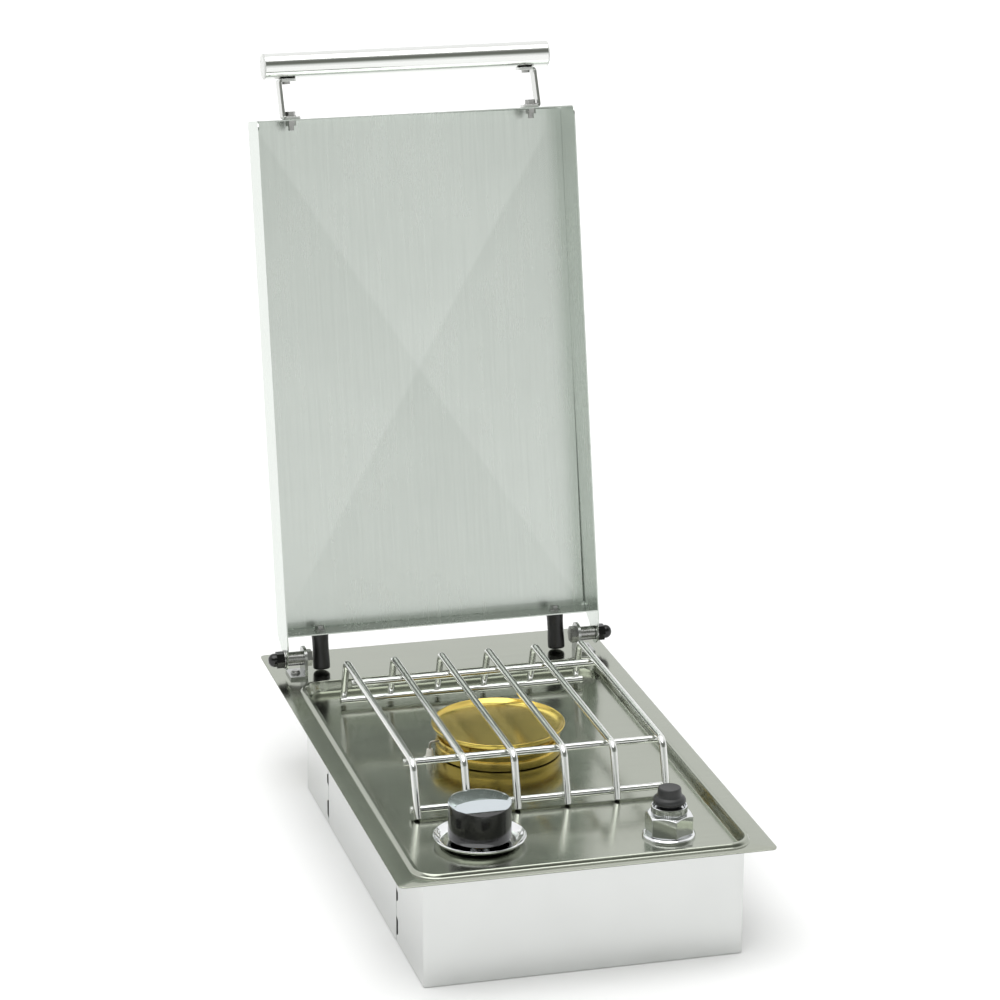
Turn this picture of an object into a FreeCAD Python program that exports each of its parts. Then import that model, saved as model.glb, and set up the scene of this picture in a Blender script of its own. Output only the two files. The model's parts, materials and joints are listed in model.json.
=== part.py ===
import FreeCAD, Part
import math
import os
import Sketcher

doc = FreeCAD.newDocument("SideBurner")
Vector = FreeCAD.Vector


class Size:
    """A driving value: the number lays out a sketch, the formula ties it to the spreadsheet."""

    def __init__(self, number, formula=None):
        self.number = float(number)
        self.formula = formula if formula else repr(round(float(number), 6))

    def __add__(self, other):
        other = as_size(other)
        return Size(self.number + other.number, "(%s + %s)" % (self.formula, other.formula))

    def __sub__(self, other):
        other = as_size(other)
        return Size(self.number - other.number, "(%s - %s)" % (self.formula, other.formula))

    def __mul__(self, other):
        other = as_size(other)
        return Size(self.number * other.number, "(%s * %s)" % (self.formula, other.formula))

    def __truediv__(self, other):
        other = as_size(other)
        return Size(self.number / other.number, "(%s / %s)" % (self.formula, other.formula))

    def __neg__(self):
        return Size(-self.number, "(0 - %s)" % self.formula)

    __radd__ = __add__
    __rmul__ = __mul__

    def __rsub__(self, other):
        return as_size(other) - self


def as_size(value):
    return value if isinstance(value, Size) else Size(value)


# Driving dimensions, in millimetres and degrees. Each row is a name, its value and what it sets.
DIMENSIONS = [
    ("sheet", 1.0, "thickness of the steel sheet of the pan, the walls and the lid"),
    ("deck_top", 92.5, "height of the flange's upper face above the base"),
    ("deck_wide", 305.0, "width of the flange"),
    ("deck_deep", 528.6, "depth of the flange"),
    ("deck_corner", 5.0, "corner radius of the flange"),
    ("bead_side", 14.0, "flange edge to bead, at the sides"),
    ("bead_front", 5.8, "flange edge to bead, at the front"),
    ("bead_rear", 81.8, "flange edge to bead, at the rear"),
    ("bead_rise", 4.0, "height of the bead above the flange"),
    ("bead_slope", 3.0, "plan width of the bead's outer slope"),
    ("bead_crest", 2.5, "plan width of the bead's crest"),
    ("pan_slope", 3.0, "plan width of the slope from the crest down to the pan floor"),
    ("pan_drop", 5.0, "depth of the pan floor below the flange"),
    ("pan_corner", 22.0, "corner radius of the bead, outside"),
    ("wall_return", 89.5, "length of the front panel's bent returns"),
    ("rear_return", 87.0, "length of the rear panel's bent returns"),
    ("seam_gap", 0.6, "open seam between neighbouring wall panels"),
    ("lip", 12.0, "width of the turned-in lips at the foot of the walls"),
    ("burner_x", -2.0, "burner axis, across"),
    ("burner_ahead", 1.2, "burner axis in front of the middle of the grate"),
    ("throat_radius", 18.0, "outside radius of the burner's throat"),
    ("bowl_radius", 53.0, "outside radius of the burner bowl"),
    ("bowl_tall", 13.7, "height of the bowl's shoulder above the pan"),
    ("port_gap", 4.3, "open band between the bowl and the cap, where the flame ports are"),
    ("cap_radius", 56.0, "outside radius of the burner cap's rim"),
    ("cap_rim", 25.0, "height of the cap's rim above the pan"),
    ("port_count", 24, "flame ports round the bowl"),
    ("knob_side", 71.6, "knob axis in from the bead's left side"),
    ("knob_front", 78.5, "knob axis behind the bead's front"),
    ("knob_radius", 25.3, "outside radius of the knob"),
    ("knob_tall", 32.5, "height of the knob"),
    ("knob_travel", 3.0, "how far the knob is pushed in before it turns"),
    ("bezel_radius", 37.2, "outside radius of the bezel dish"),
    ("stem_radius", 4.0, "radius of the valve stem"),
    ("bonnet_radius", 9.0, "radius of the valve's bonnet"),
    ("running", 0.06, "radial clearance of a shaft that turns or slides in a hole"),
    ("hole_room", 0.3, "radial clearance of a hole that a fixed part passes through"),
    ("igniter_side", 57.5, "igniter axis in from the bead's right side"),
    ("igniter_front", 52.5, "igniter axis behind the bead's front"),
    ("barrel_radius", 10.9, "outside radius of the igniter's barrel"),
    ("insulator_radius", 3.4, "radius of the electrode's insulator"),
    ("button_radius", 9.5, "radius of the button's upper part"),
    ("button_travel", 5.0, "how far the button is pushed in"),
    ("grate_x", 0.0, "middle of the grate, across"),
    ("grate_side", 25.75, "outer bars in from the sides of the pan floor"),
    ("grate_rod", 3.0, "radius of the grate's rods"),
    ("grate_front", 145.9, "where the long bars turn down, behind the bead's front"),
    ("grate_rear", 55.5, "where the long bars turn down, in front of the bead's rear"),
    ("grate_high", 43.5, "height of the long bars' axis above the pan"),
    ("grate_splay", 15.0, "how far each leg leans outward over its height"),
    ("grate_bend", 9.0, "bend radius of the bars, at the axis"),
    ("lid_room", 2.3, "space between the bead and the closed lid, at the sides"),
    ("lid_behind", 3.0, "closed lid's rear bend behind the bead"),
    ("lid_ahead", 5.0, "closed lid's front bend in front of the bead"),
    ("lid_above", 0.5, "closed lid's edge above the flange"),
    ("lid_deep", 44.0, "depth of the lid's flanges"),
    ("lid_tilt", -12.1, "lean of the open lid, behind the upright"),
    ("pivot_high", 16.0, "hinge axis above the flange"),
    ("pivot_drop", 21.0, "hinge axis below the lid's rear bend"),
    ("pivot_radius", 4.0, "radius of the hinge bolt"),
    ("ear_radius", 9.5, "radius of the lid's hinge ear"),
    ("hinge_inset", 15.8, "outer face of the hinge bracket's upright leaf, in from the lid's side"),
    ("handle_radius", 11.2, "outside radius of the handle tube"),
    ("handle_inset", 14.8, "end of the handle tube, in from the lid's side"),
    ("handle_reach", 46.7, "handle axis beyond the lid's front bend"),
    ("handle_deep", 9.5, "handle axis in front of the lid's skin"),
    ("strap_deep", 20.0, "middle of each handle bracket's foot in front of the lid's skin"),
    ("strap_inset", 25.8, "outer face of each handle bracket, in from the lid's side"),
    ("strap_thick", 2.5, "thickness of the handle brackets"),
    ("bumper_inset", 34.3, "bumper axis, in from the lid's side"),
    ("bumper_radius", 7.5, "radius of the rubber bumpers"),
    ("bumper_lift", 0.5, "bumper above the flange when the lid is open"),
    ("bumper_deep", 20.0, "bumper axis in front of the lid's skin"),
    ("pipe_side", 25.0, "gas pipe in from the left wall"),
    ("gap", 0.3, "free space left between parts that move past each other"),
]

sheet = doc.addObject("Spreadsheet::Sheet", "dims")
size = {}
for row, (alias, number, note) in enumerate(DIMENSIONS, start=1):
    sheet.set("A%d" % row, alias)
    sheet.set("B%d" % row, str(number))
    sheet.set("C%d" % row, note)
    sheet.setAlias("B%d" % row, alias)
    size[alias] = Size(number, "dims." + alias)
doc.recompute()

t = size["sheet"]
deck_top = size["deck_top"]
half_wide = size["deck_wide"] / 2
half_deep = size["deck_deep"] / 2
pan_floor = deck_top - size["pan_drop"]
pan_under = pan_floor - t
pan_front = -half_deep + size["bead_front"]
pan_rear = half_deep - size["bead_rear"]
pan_half = half_wide - size["bead_side"]
crest_in = size["bead_slope"] + size["bead_crest"]
floor_in = crest_in + size["pan_slope"]
wall_x = pan_half - floor_in
wall_front = pan_front + floor_in
wall_rear = pan_rear - floor_in
knob_x = size["knob_side"] - pan_half
knob_y = pan_front + size["knob_front"]
igniter_x = pan_half - size["igniter_side"]
igniter_y = pan_front + size["igniter_front"]
front_bend = pan_front + size["grate_front"]
rear_bend = pan_rear - size["grate_rear"]
grate_pitch = (wall_x - size["grate_side"]) / 2.5
burner_y = (front_bend + rear_bend) / 2 - size["burner_ahead"]
half_lid = pan_half + size["lid_room"] + t
pivot_y = pan_rear + size["lid_behind"] + size["pivot_drop"]
pivot_deep = size["lid_deep"] + size["lid_above"] - size["pivot_high"]
lid_long = pan_rear + size["lid_behind"] - pan_front + size["lid_ahead"]
nodes = []


# ---------------------------------------------------------------- building helpers


def bind(item, path, value):
    item.setExpression(path, as_size(value).formula)


def body_named(node, base=None, turn=None):
    """A body with its own label and placement; turn is (axis, angle) about its own origin."""
    body = doc.addObject("PartDesign::Body", node)
    body.Label = node
    x, y, z = [as_size(v) for v in (base or (0, 0, 0))]
    axis, angle = turn or ((1, 0, 0), 0)
    spin = "rotation(vector(%d; %d; %d); %s)" % (axis + (as_size(angle).formula,))
    where = "vector(%s; %s; %s)" % (x.formula, y.formula, z.formula)
    body.setExpression("Placement", "placement(%s; %s)" % (where, spin))
    nodes.append(body)
    return body


def origin_plane(body, role):
    return [item for item in body.Origin.OriginFeatures if item.Role == role][0]


def sketch_on(body, role, shift=0):
    """A sketch on one of the body's planes; shift moves it along the plane's normal."""
    sketch = body.newObject("Sketcher::SketchObject", body.Name + "_sketch")
    sketch.AttachmentSupport = (origin_plane(body, role), [""])
    sketch.MapMode = "FlatFace"
    bind(sketch, "AttachmentOffset.Base.z", shift)
    return sketch


def pin_point(sketch, geometry, end, x, y):
    """Fixes one point of the sketch at x, y from its origin."""
    for kind, value in (("DistanceX", as_size(x)), ("DistanceY", as_size(y))):
        number = sketch.addConstraint(Sketcher.Constraint(kind, -1, 1, geometry, end, value.number))
        bind(sketch, "Constraints[%d]" % number, value)


def add_polygon(sketch, points):
    points = [(as_size(x), as_size(y)) for x, y in points]
    first = sketch.GeometryCount
    count = len(points)
    for i in range(count):
        start, end = points[i], points[(i + 1) % count]
        line = Part.LineSegment(
            Vector(start[0].number, start[1].number, 0), Vector(end[0].number, end[1].number, 0)
        )
        sketch.addGeometry(line, False)
    for i in range(count):
        joint = Sketcher.Constraint("Coincident", first + i, 2, first + (i + 1) % count, 1)
        sketch.addConstraint(joint)
    for i in range(count):
        pin_point(sketch, first + i, 1, points[i][0], points[i][1])


def add_circle(sketch, x, y, radius):
    x, y, radius = as_size(x), as_size(y), as_size(radius)
    circle = Part.Circle(Vector(x.number, y.number, 0), Vector(0, 0, 1), radius.number)
    index = sketch.addGeometry(circle, False)
    pin_point(sketch, index, 3, x, y)
    number = sketch.addConstraint(Sketcher.Constraint("Radius", index, radius.number))
    bind(sketch, "Constraints[%d]" % number, radius)


def add_hexagon(sketch, x, y, across_flats):
    """A hexagon with two flats square to the sketch's second axis."""
    reach = as_size(across_flats) / math.sqrt(3.0)
    corners = []
    for k in range(6):
        turn = math.radians(60 * k)
        corners.append((x + reach * math.cos(turn), y + reach * math.sin(turn)))
    add_polygon(sketch, corners)


def add_box(sketch, low_x, low_y, high_x, high_y):
    add_polygon(sketch, [(low_x, low_y), (high_x, low_y), (high_x, high_y), (low_x, high_y)])


def pad(body, sketch, length, both=False, back=False):
    feature = body.newObject("PartDesign::Pad", body.Name + "_pad")
    feature.Profile = sketch
    bind(feature, "Length", length)
    feature.Midplane = both
    feature.Reversed = back
    sketch.Visibility = False
    doc.recompute()
    return feature


def pocket(body, sketch, length, both=True, back=False):
    before = body.Tip.Shape.Volume
    feature = body.newObject("PartDesign::Pocket", body.Name + "_pocket")
    feature.Profile = sketch
    bind(feature, "Length", length)
    feature.Midplane = both
    feature.Reversed = back
    sketch.Visibility = False
    doc.recompute()
    if not feature.Shape.Volume < before - 1e-6:
        raise RuntimeError("nothing was cut from " + body.Label)
    return feature


def revolve(body, sketch, axis="V_Axis", groove=False):
    kind = "PartDesign::Groove" if groove else "PartDesign::Revolution"
    feature = body.newObject(kind, body.Name + "_turned")
    feature.Profile = sketch
    feature.ReferenceAxis = (sketch, [axis])
    feature.Angle = 360.0
    sketch.Visibility = False
    doc.recompute()
    return feature


def round_edges(body, radius, wanted, chamfer=False):
    """Rounds or chamfers the edges of the body so far that the test picks out."""
    tip = body.Tip
    names = ["Edge%d" % (i + 1) for i, edge in enumerate(tip.Shape.Edges) if wanted(edge)]
    if not names:
        raise RuntimeError("no edge to round on " + body.Label)
    kind = "PartDesign::Chamfer" if chamfer else "PartDesign::Fillet"
    feature = body.newObject(kind, body.Name + "_edges")
    feature.Base = (tip, names)
    bind(feature, "Size" if chamfer else "Radius", radius)
    doc.recompute()
    return feature


def runs_along(edge, axis):
    if edge.Curve.TypeId != "Part::GeomLine":
        return False
    return abs(edge.tangentAt(edge.FirstParameter).dot(axis)) > 0.999


def at(edge, tolerance=0.02, **wanted):
    """True when the middle of the edge's box is at every coordinate named."""
    middle = edge.BoundBox.Center
    return all(abs(getattr(middle, k) - as_size(v).number) < tolerance for k, v in wanted.items())


def turned(node, profile, base=None, turn=None):
    """A solid of revolution about its own Z axis; the profile is (radius, height) points."""
    body = body_named(node, base, turn)
    sketch = sketch_on(body, "XZ_Plane")
    add_polygon(sketch, profile)
    revolve(body, sketch)
    return body


def stacked(node, tiers, role="XY_Plane", base=None, turn=None):
    """Solids built up of discs and hexagons along one axis. Each tier is (shape, size, centres, from, to)."""
    body = body_named(node, base, turn)
    body.AllowCompound = True
    for shape, across, centres, start, end in tiers:
        sketch = sketch_on(body, role, start)
        for x, y in centres:
            if shape == "disc":
                add_circle(sketch, x, y, across)
            else:
                add_hexagon(sketch, as_size(x), as_size(y), across)
        pad(body, sketch, as_size(end) - start)
    return body


def rod_path(sketch, corners, bend):
    """Straight runs through the corners, joined by bends of one radius."""
    corners = [(as_size(x), as_size(y)) for x, y in corners]
    spots = [Vector(x.number, y.number, 0) for x, y in corners]
    bend = as_size(bend)
    lines, arcs = [], []
    starts, ends = [spots[0]], []
    for before, corner, after in zip(spots, spots[1:], spots[2:]):
        inward = (before - corner).normalize()
        onward = (after - corner).normalize()
        half = math.acos(max(-1.0, min(1.0, inward * onward))) / 2
        trim = bend.number / math.tan(half)
        middle = corner + (inward + onward).normalize() * (bend.number / math.sin(half))
        first, last = corner + inward * trim, corner + onward * trim
        ends.append(first)
        starts.append(last)
        turns_left = inward.cross(onward).z < 0
        spokes = [first - middle, last - middle] if turns_left else [last - middle, first - middle]
        begin, finish = [math.atan2(spoke.y, spoke.x) for spoke in spokes]
        finish += 2 * math.pi if finish < begin else 0
        circle = Part.Circle(middle, Vector(0, 0, 1), bend.number)
        arcs.append((Part.ArcOfCircle(circle, begin, finish), turns_left))
    ends.append(spots[-1])
    for start, end in zip(starts, ends):
        lines.append(sketch.addGeometry(Part.LineSegment(start, end), False))
    for k, (arc, turns_left) in enumerate(arcs):
        curve = sketch.addGeometry(arc, False)
        near, far = (1, 2) if turns_left else (2, 1)
        sketch.addConstraint(Sketcher.Constraint("Tangent", lines[k], 2, curve, near))
        sketch.addConstraint(Sketcher.Constraint("Tangent", lines[k + 1], 1, curve, far))
        number = sketch.addConstraint(Sketcher.Constraint("Radius", curve, bend.number))
        bind(sketch, "Constraints[%d]" % number, bend)
        mark = sketch.addGeometry(Part.Point(spots[k + 1]), True)
        pin_point(sketch, mark, 1, corners[k + 1][0], corners[k + 1][1])
        sketch.addConstraint(Sketcher.Constraint("PointOnObject", mark, 1, lines[k]))
        sketch.addConstraint(Sketcher.Constraint("PointOnObject", mark, 1, lines[k + 1]))
    pin_point(sketch, lines[0], 1, corners[0][0], corners[0][1])
    pin_point(sketch, lines[-1], 2, corners[-1][0], corners[-1][1])


def bent_rod(node, role, corners, radius, bend, base=None, bore=None):
    """A round rod or tube swept along a bent path in one of its body's planes."""
    body = body_named(node, base)
    path = sketch_on(body, role)
    rod_path(path, corners, bend)
    doc.recompute()
    section = body.newObject("Sketcher::SketchObject", body.Name + "_section")
    section.AttachmentSupport = [(path, "Edge1")]
    section.MapMode = "NormalToEdge"
    section.MapPathParameter = 0.0
    add_circle(section, 0, 0, radius)
    if bore is not None:
        add_circle(section, 0, 0, bore)
    doc.recompute()
    sweep = body.newObject("PartDesign::AdditivePipe", body.Name + "_sweep")
    sweep.Profile = section
    sweep.Spine = (path, ["Edge%d" % (i + 1) for i in range(len(path.Shape.Edges))])
    sweep.Transition = "Transformed"
    path.Visibility = False
    section.Visibility = False
    doc.recompute()
    return body


def hole_row(body, role, shift, holes, depth):
    """Round holes at (x, y, radius), cut both ways from a plane."""
    sketch = sketch_on(body, role, shift)
    for x, y, radius in holes:
        add_circle(sketch, x, y, radius)
    return pocket(body, sketch, depth)


# ---------------------------------------------------------------- deck pan
# One pressed sheet: flat flange, raised bead all round, pan floor sunk inside the bead.

leaf_out = half_lid - size["hinge_inset"]
hinge_foot = (leaf_out + 6.5, pivot_y)


def rounded_outline(name, inset, corner, height):
    """A rounded rectangle at one height, set in from the bead's outer line."""
    sketch = doc.addObject("Sketcher::SketchObject", name)
    bind(sketch, "Placement.Base.z", height)
    low = Vector((-pan_half + inset).number, (pan_front + inset).number, 0)
    high = Vector((pan_half - inset).number, (pan_rear - inset).number, 0)
    bend = as_size(corner).number
    spots = [
        (Vector(low.x + bend, low.y, 0), Vector(high.x - bend, low.y, 0), high.x - bend, low.y + bend, 270),
        (Vector(high.x, low.y + bend, 0), Vector(high.x, high.y - bend, 0), high.x - bend, high.y - bend, 0),
        (Vector(high.x - bend, high.y, 0), Vector(low.x + bend, high.y, 0), low.x + bend, high.y - bend, 90),
        (Vector(low.x, high.y - bend, 0), Vector(low.x, low.y + bend, 0), low.x + bend, low.y + bend, 180),
    ]
    for start, end, cx, cy, angle in spots:
        sketch.addGeometry(Part.LineSegment(start, end), False)
        circle = Part.Circle(Vector(cx, cy, 0), Vector(0, 0, 1), bend)
        begin = math.radians(angle)
        sketch.addGeometry(Part.ArcOfCircle(circle, begin, begin + math.pi / 2), False)
    for side in range(4):
        line, arc, following = 2 * side, 2 * side + 1, (2 * side + 2) % 8
        sketch.addConstraint(Sketcher.Constraint("Tangent", line, 2, arc, 1))
        sketch.addConstraint(Sketcher.Constraint("Tangent", arc, 2, following, 1))
        number = sketch.addConstraint(Sketcher.Constraint("Radius", arc, bend))
        bind(sketch, "Constraints[%d]" % number, corner)
    left, right = -pan_half + inset, pan_half - inset
    front, rear = pan_front + inset, pan_rear - inset
    sketch.addConstraint(Sketcher.Constraint("Horizontal", 0))
    sketch.addConstraint(Sketcher.Constraint("Vertical", 2))
    sketch.addConstraint(Sketcher.Constraint("Horizontal", 4))
    for kind, line, value in (
        ("DistanceY", 0, front), ("DistanceX", 2, right), ("DistanceY", 4, rear), ("DistanceX", 6, left)
    ):
        number = sketch.addConstraint(Sketcher.Constraint(kind, -1, 1, line, 1, value.number))
        bind(sketch, "Constraints[%d]" % number, value)
    return sketch


def prism(name, outlines):
    """A solid lofted through rounded outlines given as (inset, corner radius, height)."""
    loft = doc.addObject("Part::Loft", name)
    loft.Sections = [
        rounded_outline("%s_%d" % (name, k), as_size(i), as_size(c), as_size(z))
        for k, (i, c, z) in enumerate(outlines)
    ]
    loft.Solid = True
    loft.Ruled = True
    return loft


def slab(name, low, high):
    """A box from one corner to the other."""
    item = doc.addObject("Part::Box", name)
    for key, side, start, end in zip("xyz", ("Length", "Width", "Height"), low, high):
        bind(item, "Placement.Base." + key, start)
        bind(item, side, as_size(end) - start)
    return item


def pan_form(name, skin):
    """The pan's shape as a solid block, every face set down or back by the skin thickness."""
    corner = size["pan_corner"]
    low = (-half_wide - 1, -half_deep - 1, deck_top - 40)
    high = (half_wide + 1, half_deep + 1, deck_top - skin)
    block = slab(name + "_block", low, high)
    ridge = prism(name + "_ridge", [
        (skin * 0.6 - size["bead_slope"] * 0.5, corner, deck_top - size["bead_rise"] * 0.5 - skin),
        (size["bead_slope"] + skin * 0.6, corner - size["bead_slope"], deck_top + size["bead_rise"] - skin),
    ])
    hollow = prism(name + "_hollow", [
        (floor_in - skin, corner - floor_in + skin, pan_floor - skin),
        (crest_in - skin * 0.9, corner - crest_in + skin, deck_top + size["bead_rise"] + 0.001),
    ])
    raised = doc.addObject("Part::MultiFuse", name + "_raised")
    raised.Shapes = [block, ridge]
    sunk = doc.addObject("Part::Cut", name + "_form")
    sunk.Base = raised
    sunk.Tool = hollow
    return sunk


def cylinder(name, x, y, low, radius, tall):
    item = doc.addObject("Part::Cylinder", name)
    for key, value in (("x", x), ("y", y), ("z", low)):
        bind(item, "Placement.Base." + key, value)
    bind(item, "Radius", radius)
    bind(item, "Height", tall)
    return item


edge_plate = slab("deck_edge", (-half_wide, -half_deep, deck_top - 20), (half_wide, half_deep, deck_top + 20))
doc.recompute()
edge_round = doc.addObject("Part::Fillet", "deck_edge_round")
edge_round.Base = edge_plate
corner_edges = [
    i + 1 for i, edge in enumerate(edge_plate.Shape.Edges) if runs_along(edge, Vector(0, 0, 1))
]
edge_round.Edges = [(i, size["deck_corner"].number, size["deck_corner"].number) for i in corner_edges]
skin_cut = doc.addObject("Part::Cut", "deck_skin")
skin_cut.Base = pan_form("deck_outer", as_size(0))
skin_cut.Tool = pan_form("deck_inner", t)
trimmed = doc.addObject("Part::MultiCommon", "deck_trimmed")
trimmed.Shapes = [skin_cut, edge_round]
room = size["hole_room"]
electrode_x = size["burner_x"] - size["cap_radius"] - 5
electrode_y = burner_y - 8
openings = [
    cylinder("burner_hole", size["burner_x"], burner_y, pan_under - 5, size["throat_radius"] + room, 20),
    cylinder("valve_hole", knob_x, knob_y, pan_under - 5, size["bonnet_radius"] + room, 20),
    cylinder("igniter_hole", igniter_x, igniter_y, pan_under - 5, size["barrel_radius"] + room, 20),
    cylinder("electrode_hole", electrode_x, electrode_y, pan_under - 5, size["insulator_radius"] + room, 20),
]
for side in (-1, 1):
    openings.append(cylinder("hinge_hole", hinge_foot[0] * side, hinge_foot[1], deck_top - 8, 2.2, 16))
pan = doc.addObject("Part::Cut", "deck_pan")
pan.Base = trimmed
drills = doc.addObject("Part::MultiFuse", "deck_openings")
drills.Shapes = openings
pan.Tool = drills
pan.Label = "deck_pan"
nodes.append(pan)
doc.recompute()


# ---------------------------------------------------------------- housing walls
# Bent sheet panels under the pan. The front and rear panels wrap round the corners and meet the
# side panels at open seams. Notches in the seams leave short lands, each backed by a welded clip.

wall_top = pan_under
wall_bend = as_size(1.5)
front_seam = wall_front + size["wall_return"]
rear_seam = wall_rear - size["rear_return"]
notch_rows = [(0.94, 0.74), (0.54, 0.40), (0.26, 0.06)]
notch_deep = as_size(5.0)


def wrap_panel(node, end_y, inward, seam_y):
    """A panel across the box with a return along each side wall and a lip at its foot."""
    body = body_named(node)
    outline = sketch_on(body, "XY_Plane", 0)
    reach = t * inward
    add_polygon(outline, [
        (-wall_x, end_y), (wall_x, end_y), (wall_x, seam_y), (wall_x - t, seam_y),
        (wall_x - t, end_y + reach), (-wall_x + t, end_y + reach), (-wall_x + t, seam_y), (-wall_x, seam_y),
    ])
    pad(body, outline, wall_top)
    bend = [wall_x.number, end_y.number]
    inner = [(wall_x - t).number, (end_y + reach).number]

    def outer_bend(edge):
        middle = edge.BoundBox.Center
        return runs_along(edge, Vector(0, 0, 1)) and abs(abs(middle.x) - bend[0]) < 0.01 and abs(middle.y - bend[1]) < 0.01

    def inner_bend(edge):
        middle = edge.BoundBox.Center
        return runs_along(edge, Vector(0, 0, 1)) and abs(abs(middle.x) - inner[0]) < 0.01 and abs(middle.y - inner[1]) < 0.01

    round_edges(body, wall_bend + t, outer_bend)
    round_edges(body, wall_bend, inner_bend)
    lip = sketch_on(body, "XY_Plane", t)
    low, high = (end_y + reach, end_y + reach + size["lip"] * inward)
    if inward < 0:
        low, high = high, low
    add_box(lip, -wall_x + t + 2, low - 0.4 * (inward > 0), wall_x - t - 2, high + 0.4 * (inward < 0))
    pad(body, lip, t)
    notches = sketch_on(body, "YZ_Plane", 0)
    mouth_y, deep_y = seam_y + 1.0 * inward, seam_y - notch_deep * inward
    for top_share, foot_share in notch_rows:
        top_z, foot_z = wall_top * top_share, wall_top * foot_share
        add_polygon(notches, [(mouth_y, top_z), (deep_y, top_z - 2.5), (deep_y, foot_z + 2.5), (mouth_y, foot_z)])
    pocket(body, notches, wall_x * 2 + 10)
    return body


pipe_x = size["pipe_side"] - wall_x
barb_radius = as_size(7.9)
wrap_panel("front_panel", wall_front, 1, front_seam)
rear_panel = wrap_panel("rear_panel", wall_rear, -1, rear_seam)
hole_row(rear_panel, "XZ_Plane", -wall_rear, [(pipe_x, pan_floor - 30, barb_radius + room)], 12)

for node, side in (("side_panel_left", -1), ("side_panel_right", 1)):
    body = body_named(node)
    face = sketch_on(body, "XZ_Plane", -(front_seam + size["seam_gap"]))
    outer, inner = wall_x * side, (wall_x - t) * side
    toe = (wall_x - size["lip"]) * side
    add_polygon(face, [
        (outer, 0), (outer, wall_top), (inner, wall_top), (inner, t * 2), (toe, t * 2), (toe, t), (inner, t), (inner, 0),
    ])
    pad(body, face, rear_seam - front_seam - size["seam_gap"] * 2, back=True)

clips = body_named("seam_clips")
clips.AllowCompound = True
lands = [0.98, 0.64, 0.33]
for land in lands:
    clip_plan = sketch_on(clips, "XY_Plane", wall_top * land - 3.5)
    for seam in (front_seam, rear_seam):
        for side in (-1, 1):
            near, far = wall_x - t, wall_x - t * 2
            low, high = (-near, -far) if side < 0 else (far, near)
            add_box(clip_plan, low, seam - 9, high, seam + 9)
    pad(clips, clip_plan, 5.0)

# The base plate closes the foot of the housing. It is spot-welded under the lips and has air slots.
base = body_named("base_plate")
plate_plan = sketch_on(base, "XY_Plane", 0)
plate_in = t + wall_bend + 0.2
add_box(plate_plan, plate_in - wall_x, wall_front + plate_in, wall_x - plate_in, wall_rear - plate_in)
pad(base, plate_plan, t)
slots = sketch_on(base, "XY_Plane", 0)
for column in range(-3, 4):
    for row in (-1, 1):
        centre_x, centre_y = column * 28.0, row * 62.0 - 30.0
        add_box(slots, centre_x - 3, centre_y - 24.0, centre_x + 3, centre_y + 24.0)
pocket(base, slots, 6)

# ---------------------------------------------------------------- burner
# A cast bowl standing on the pan, with ports in the ring that carries the dished brass cap.

burner = (size["burner_x"], burner_y)
throat = size["throat_radius"]
bowl_r = size["bowl_radius"]
shoulder = size["bowl_tall"]
seat = shoulder + size["port_gap"]
bowl = turned("burner_bowl", [
    (throat - 4, -24), (throat, -24), (throat, 0), (bowl_r, 0), (bowl_r, shoulder * 0.5), (bowl_r - 1.5, shoulder * 0.55),
    (bowl_r - 1.5, shoulder), (bowl_r - 5, shoulder), (bowl_r - 5, seat), (bowl_r - 9, seat),
    (bowl_r - 9, 3), (throat - 4, 3),
], (burner[0], burner[1], pan_floor))
ports = sketch_on(bowl, "XY_Plane", seat)
add_box(ports, bowl_r - 12, -1.1, bowl_r - 2, 1.1)
port_cut = pocket(bowl, ports, (size["port_gap"] - 0.6) * 2)
ring = bowl.newObject("PartDesign::PolarPattern", "port_ring")
ring.Originals = [port_cut]
ring.Axis = (ports, ["N_Axis"])
ring.Angle = 360
bind(ring, "Occurrences", size["port_count"])
bowl.Tip = ring
doc.recompute()

cap_edge = size["cap_radius"]
rim = size["cap_rim"]
turned("burner_cap", [
    (0, seat), (bowl_r - 11.3, seat), (bowl_r - 11.3, seat - 2.5), (bowl_r - 9.3, seat - 2.5),
    (bowl_r - 9.3, seat), (bowl_r - 3, seat), (cap_edge - 1.5, seat + 3), (cap_edge, rim - 1),
    (cap_edge - 0.6, rim), (cap_edge - 2.4, rim), (cap_edge - 9.5, seat + 3.5), (0, seat + 3.5),
], (burner[0], burner[1], pan_floor))

# ---------------------------------------------------------------- gas valve, mixer tube and supply
# The valve hangs under the pan with its bonnet through it. Its outlet points at the burner.

across = burner[0] - knob_x
along = burner[1] - knob_y
aim = Size(
    -math.degrees(math.atan(across.number / along.number)), "atan((0 - %s) / %s)" % (across.formula, along.formula)
)
reach = Size(math.hypot(across.number, along.number), "sqrt(%s^2 + %s^2)" % (across.formula, along.formula))
valve_at = (knob_x, knob_y, pan_floor)
bonnet_r = size["bonnet_radius"]
stem_bore = size["stem_radius"] + size["running"]
mixer_z = as_size(-44.0)
outlet_face = as_size(22.0)


def lying_cylinder(name, spot, radius, tall, axis, angle):
    item = cylinder(name, spot[0], spot[1], spot[2], radius, tall)
    spin = "rotation(vector(%d; %d; %d); %s)" % (axis + (as_size(angle).formula,))
    where = "vector(%s; %s; %s)" % tuple(as_size(v).formula for v in spot)
    item.setExpression("Placement", "placement(%s; %s)" % (where, spin))
    return item


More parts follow.
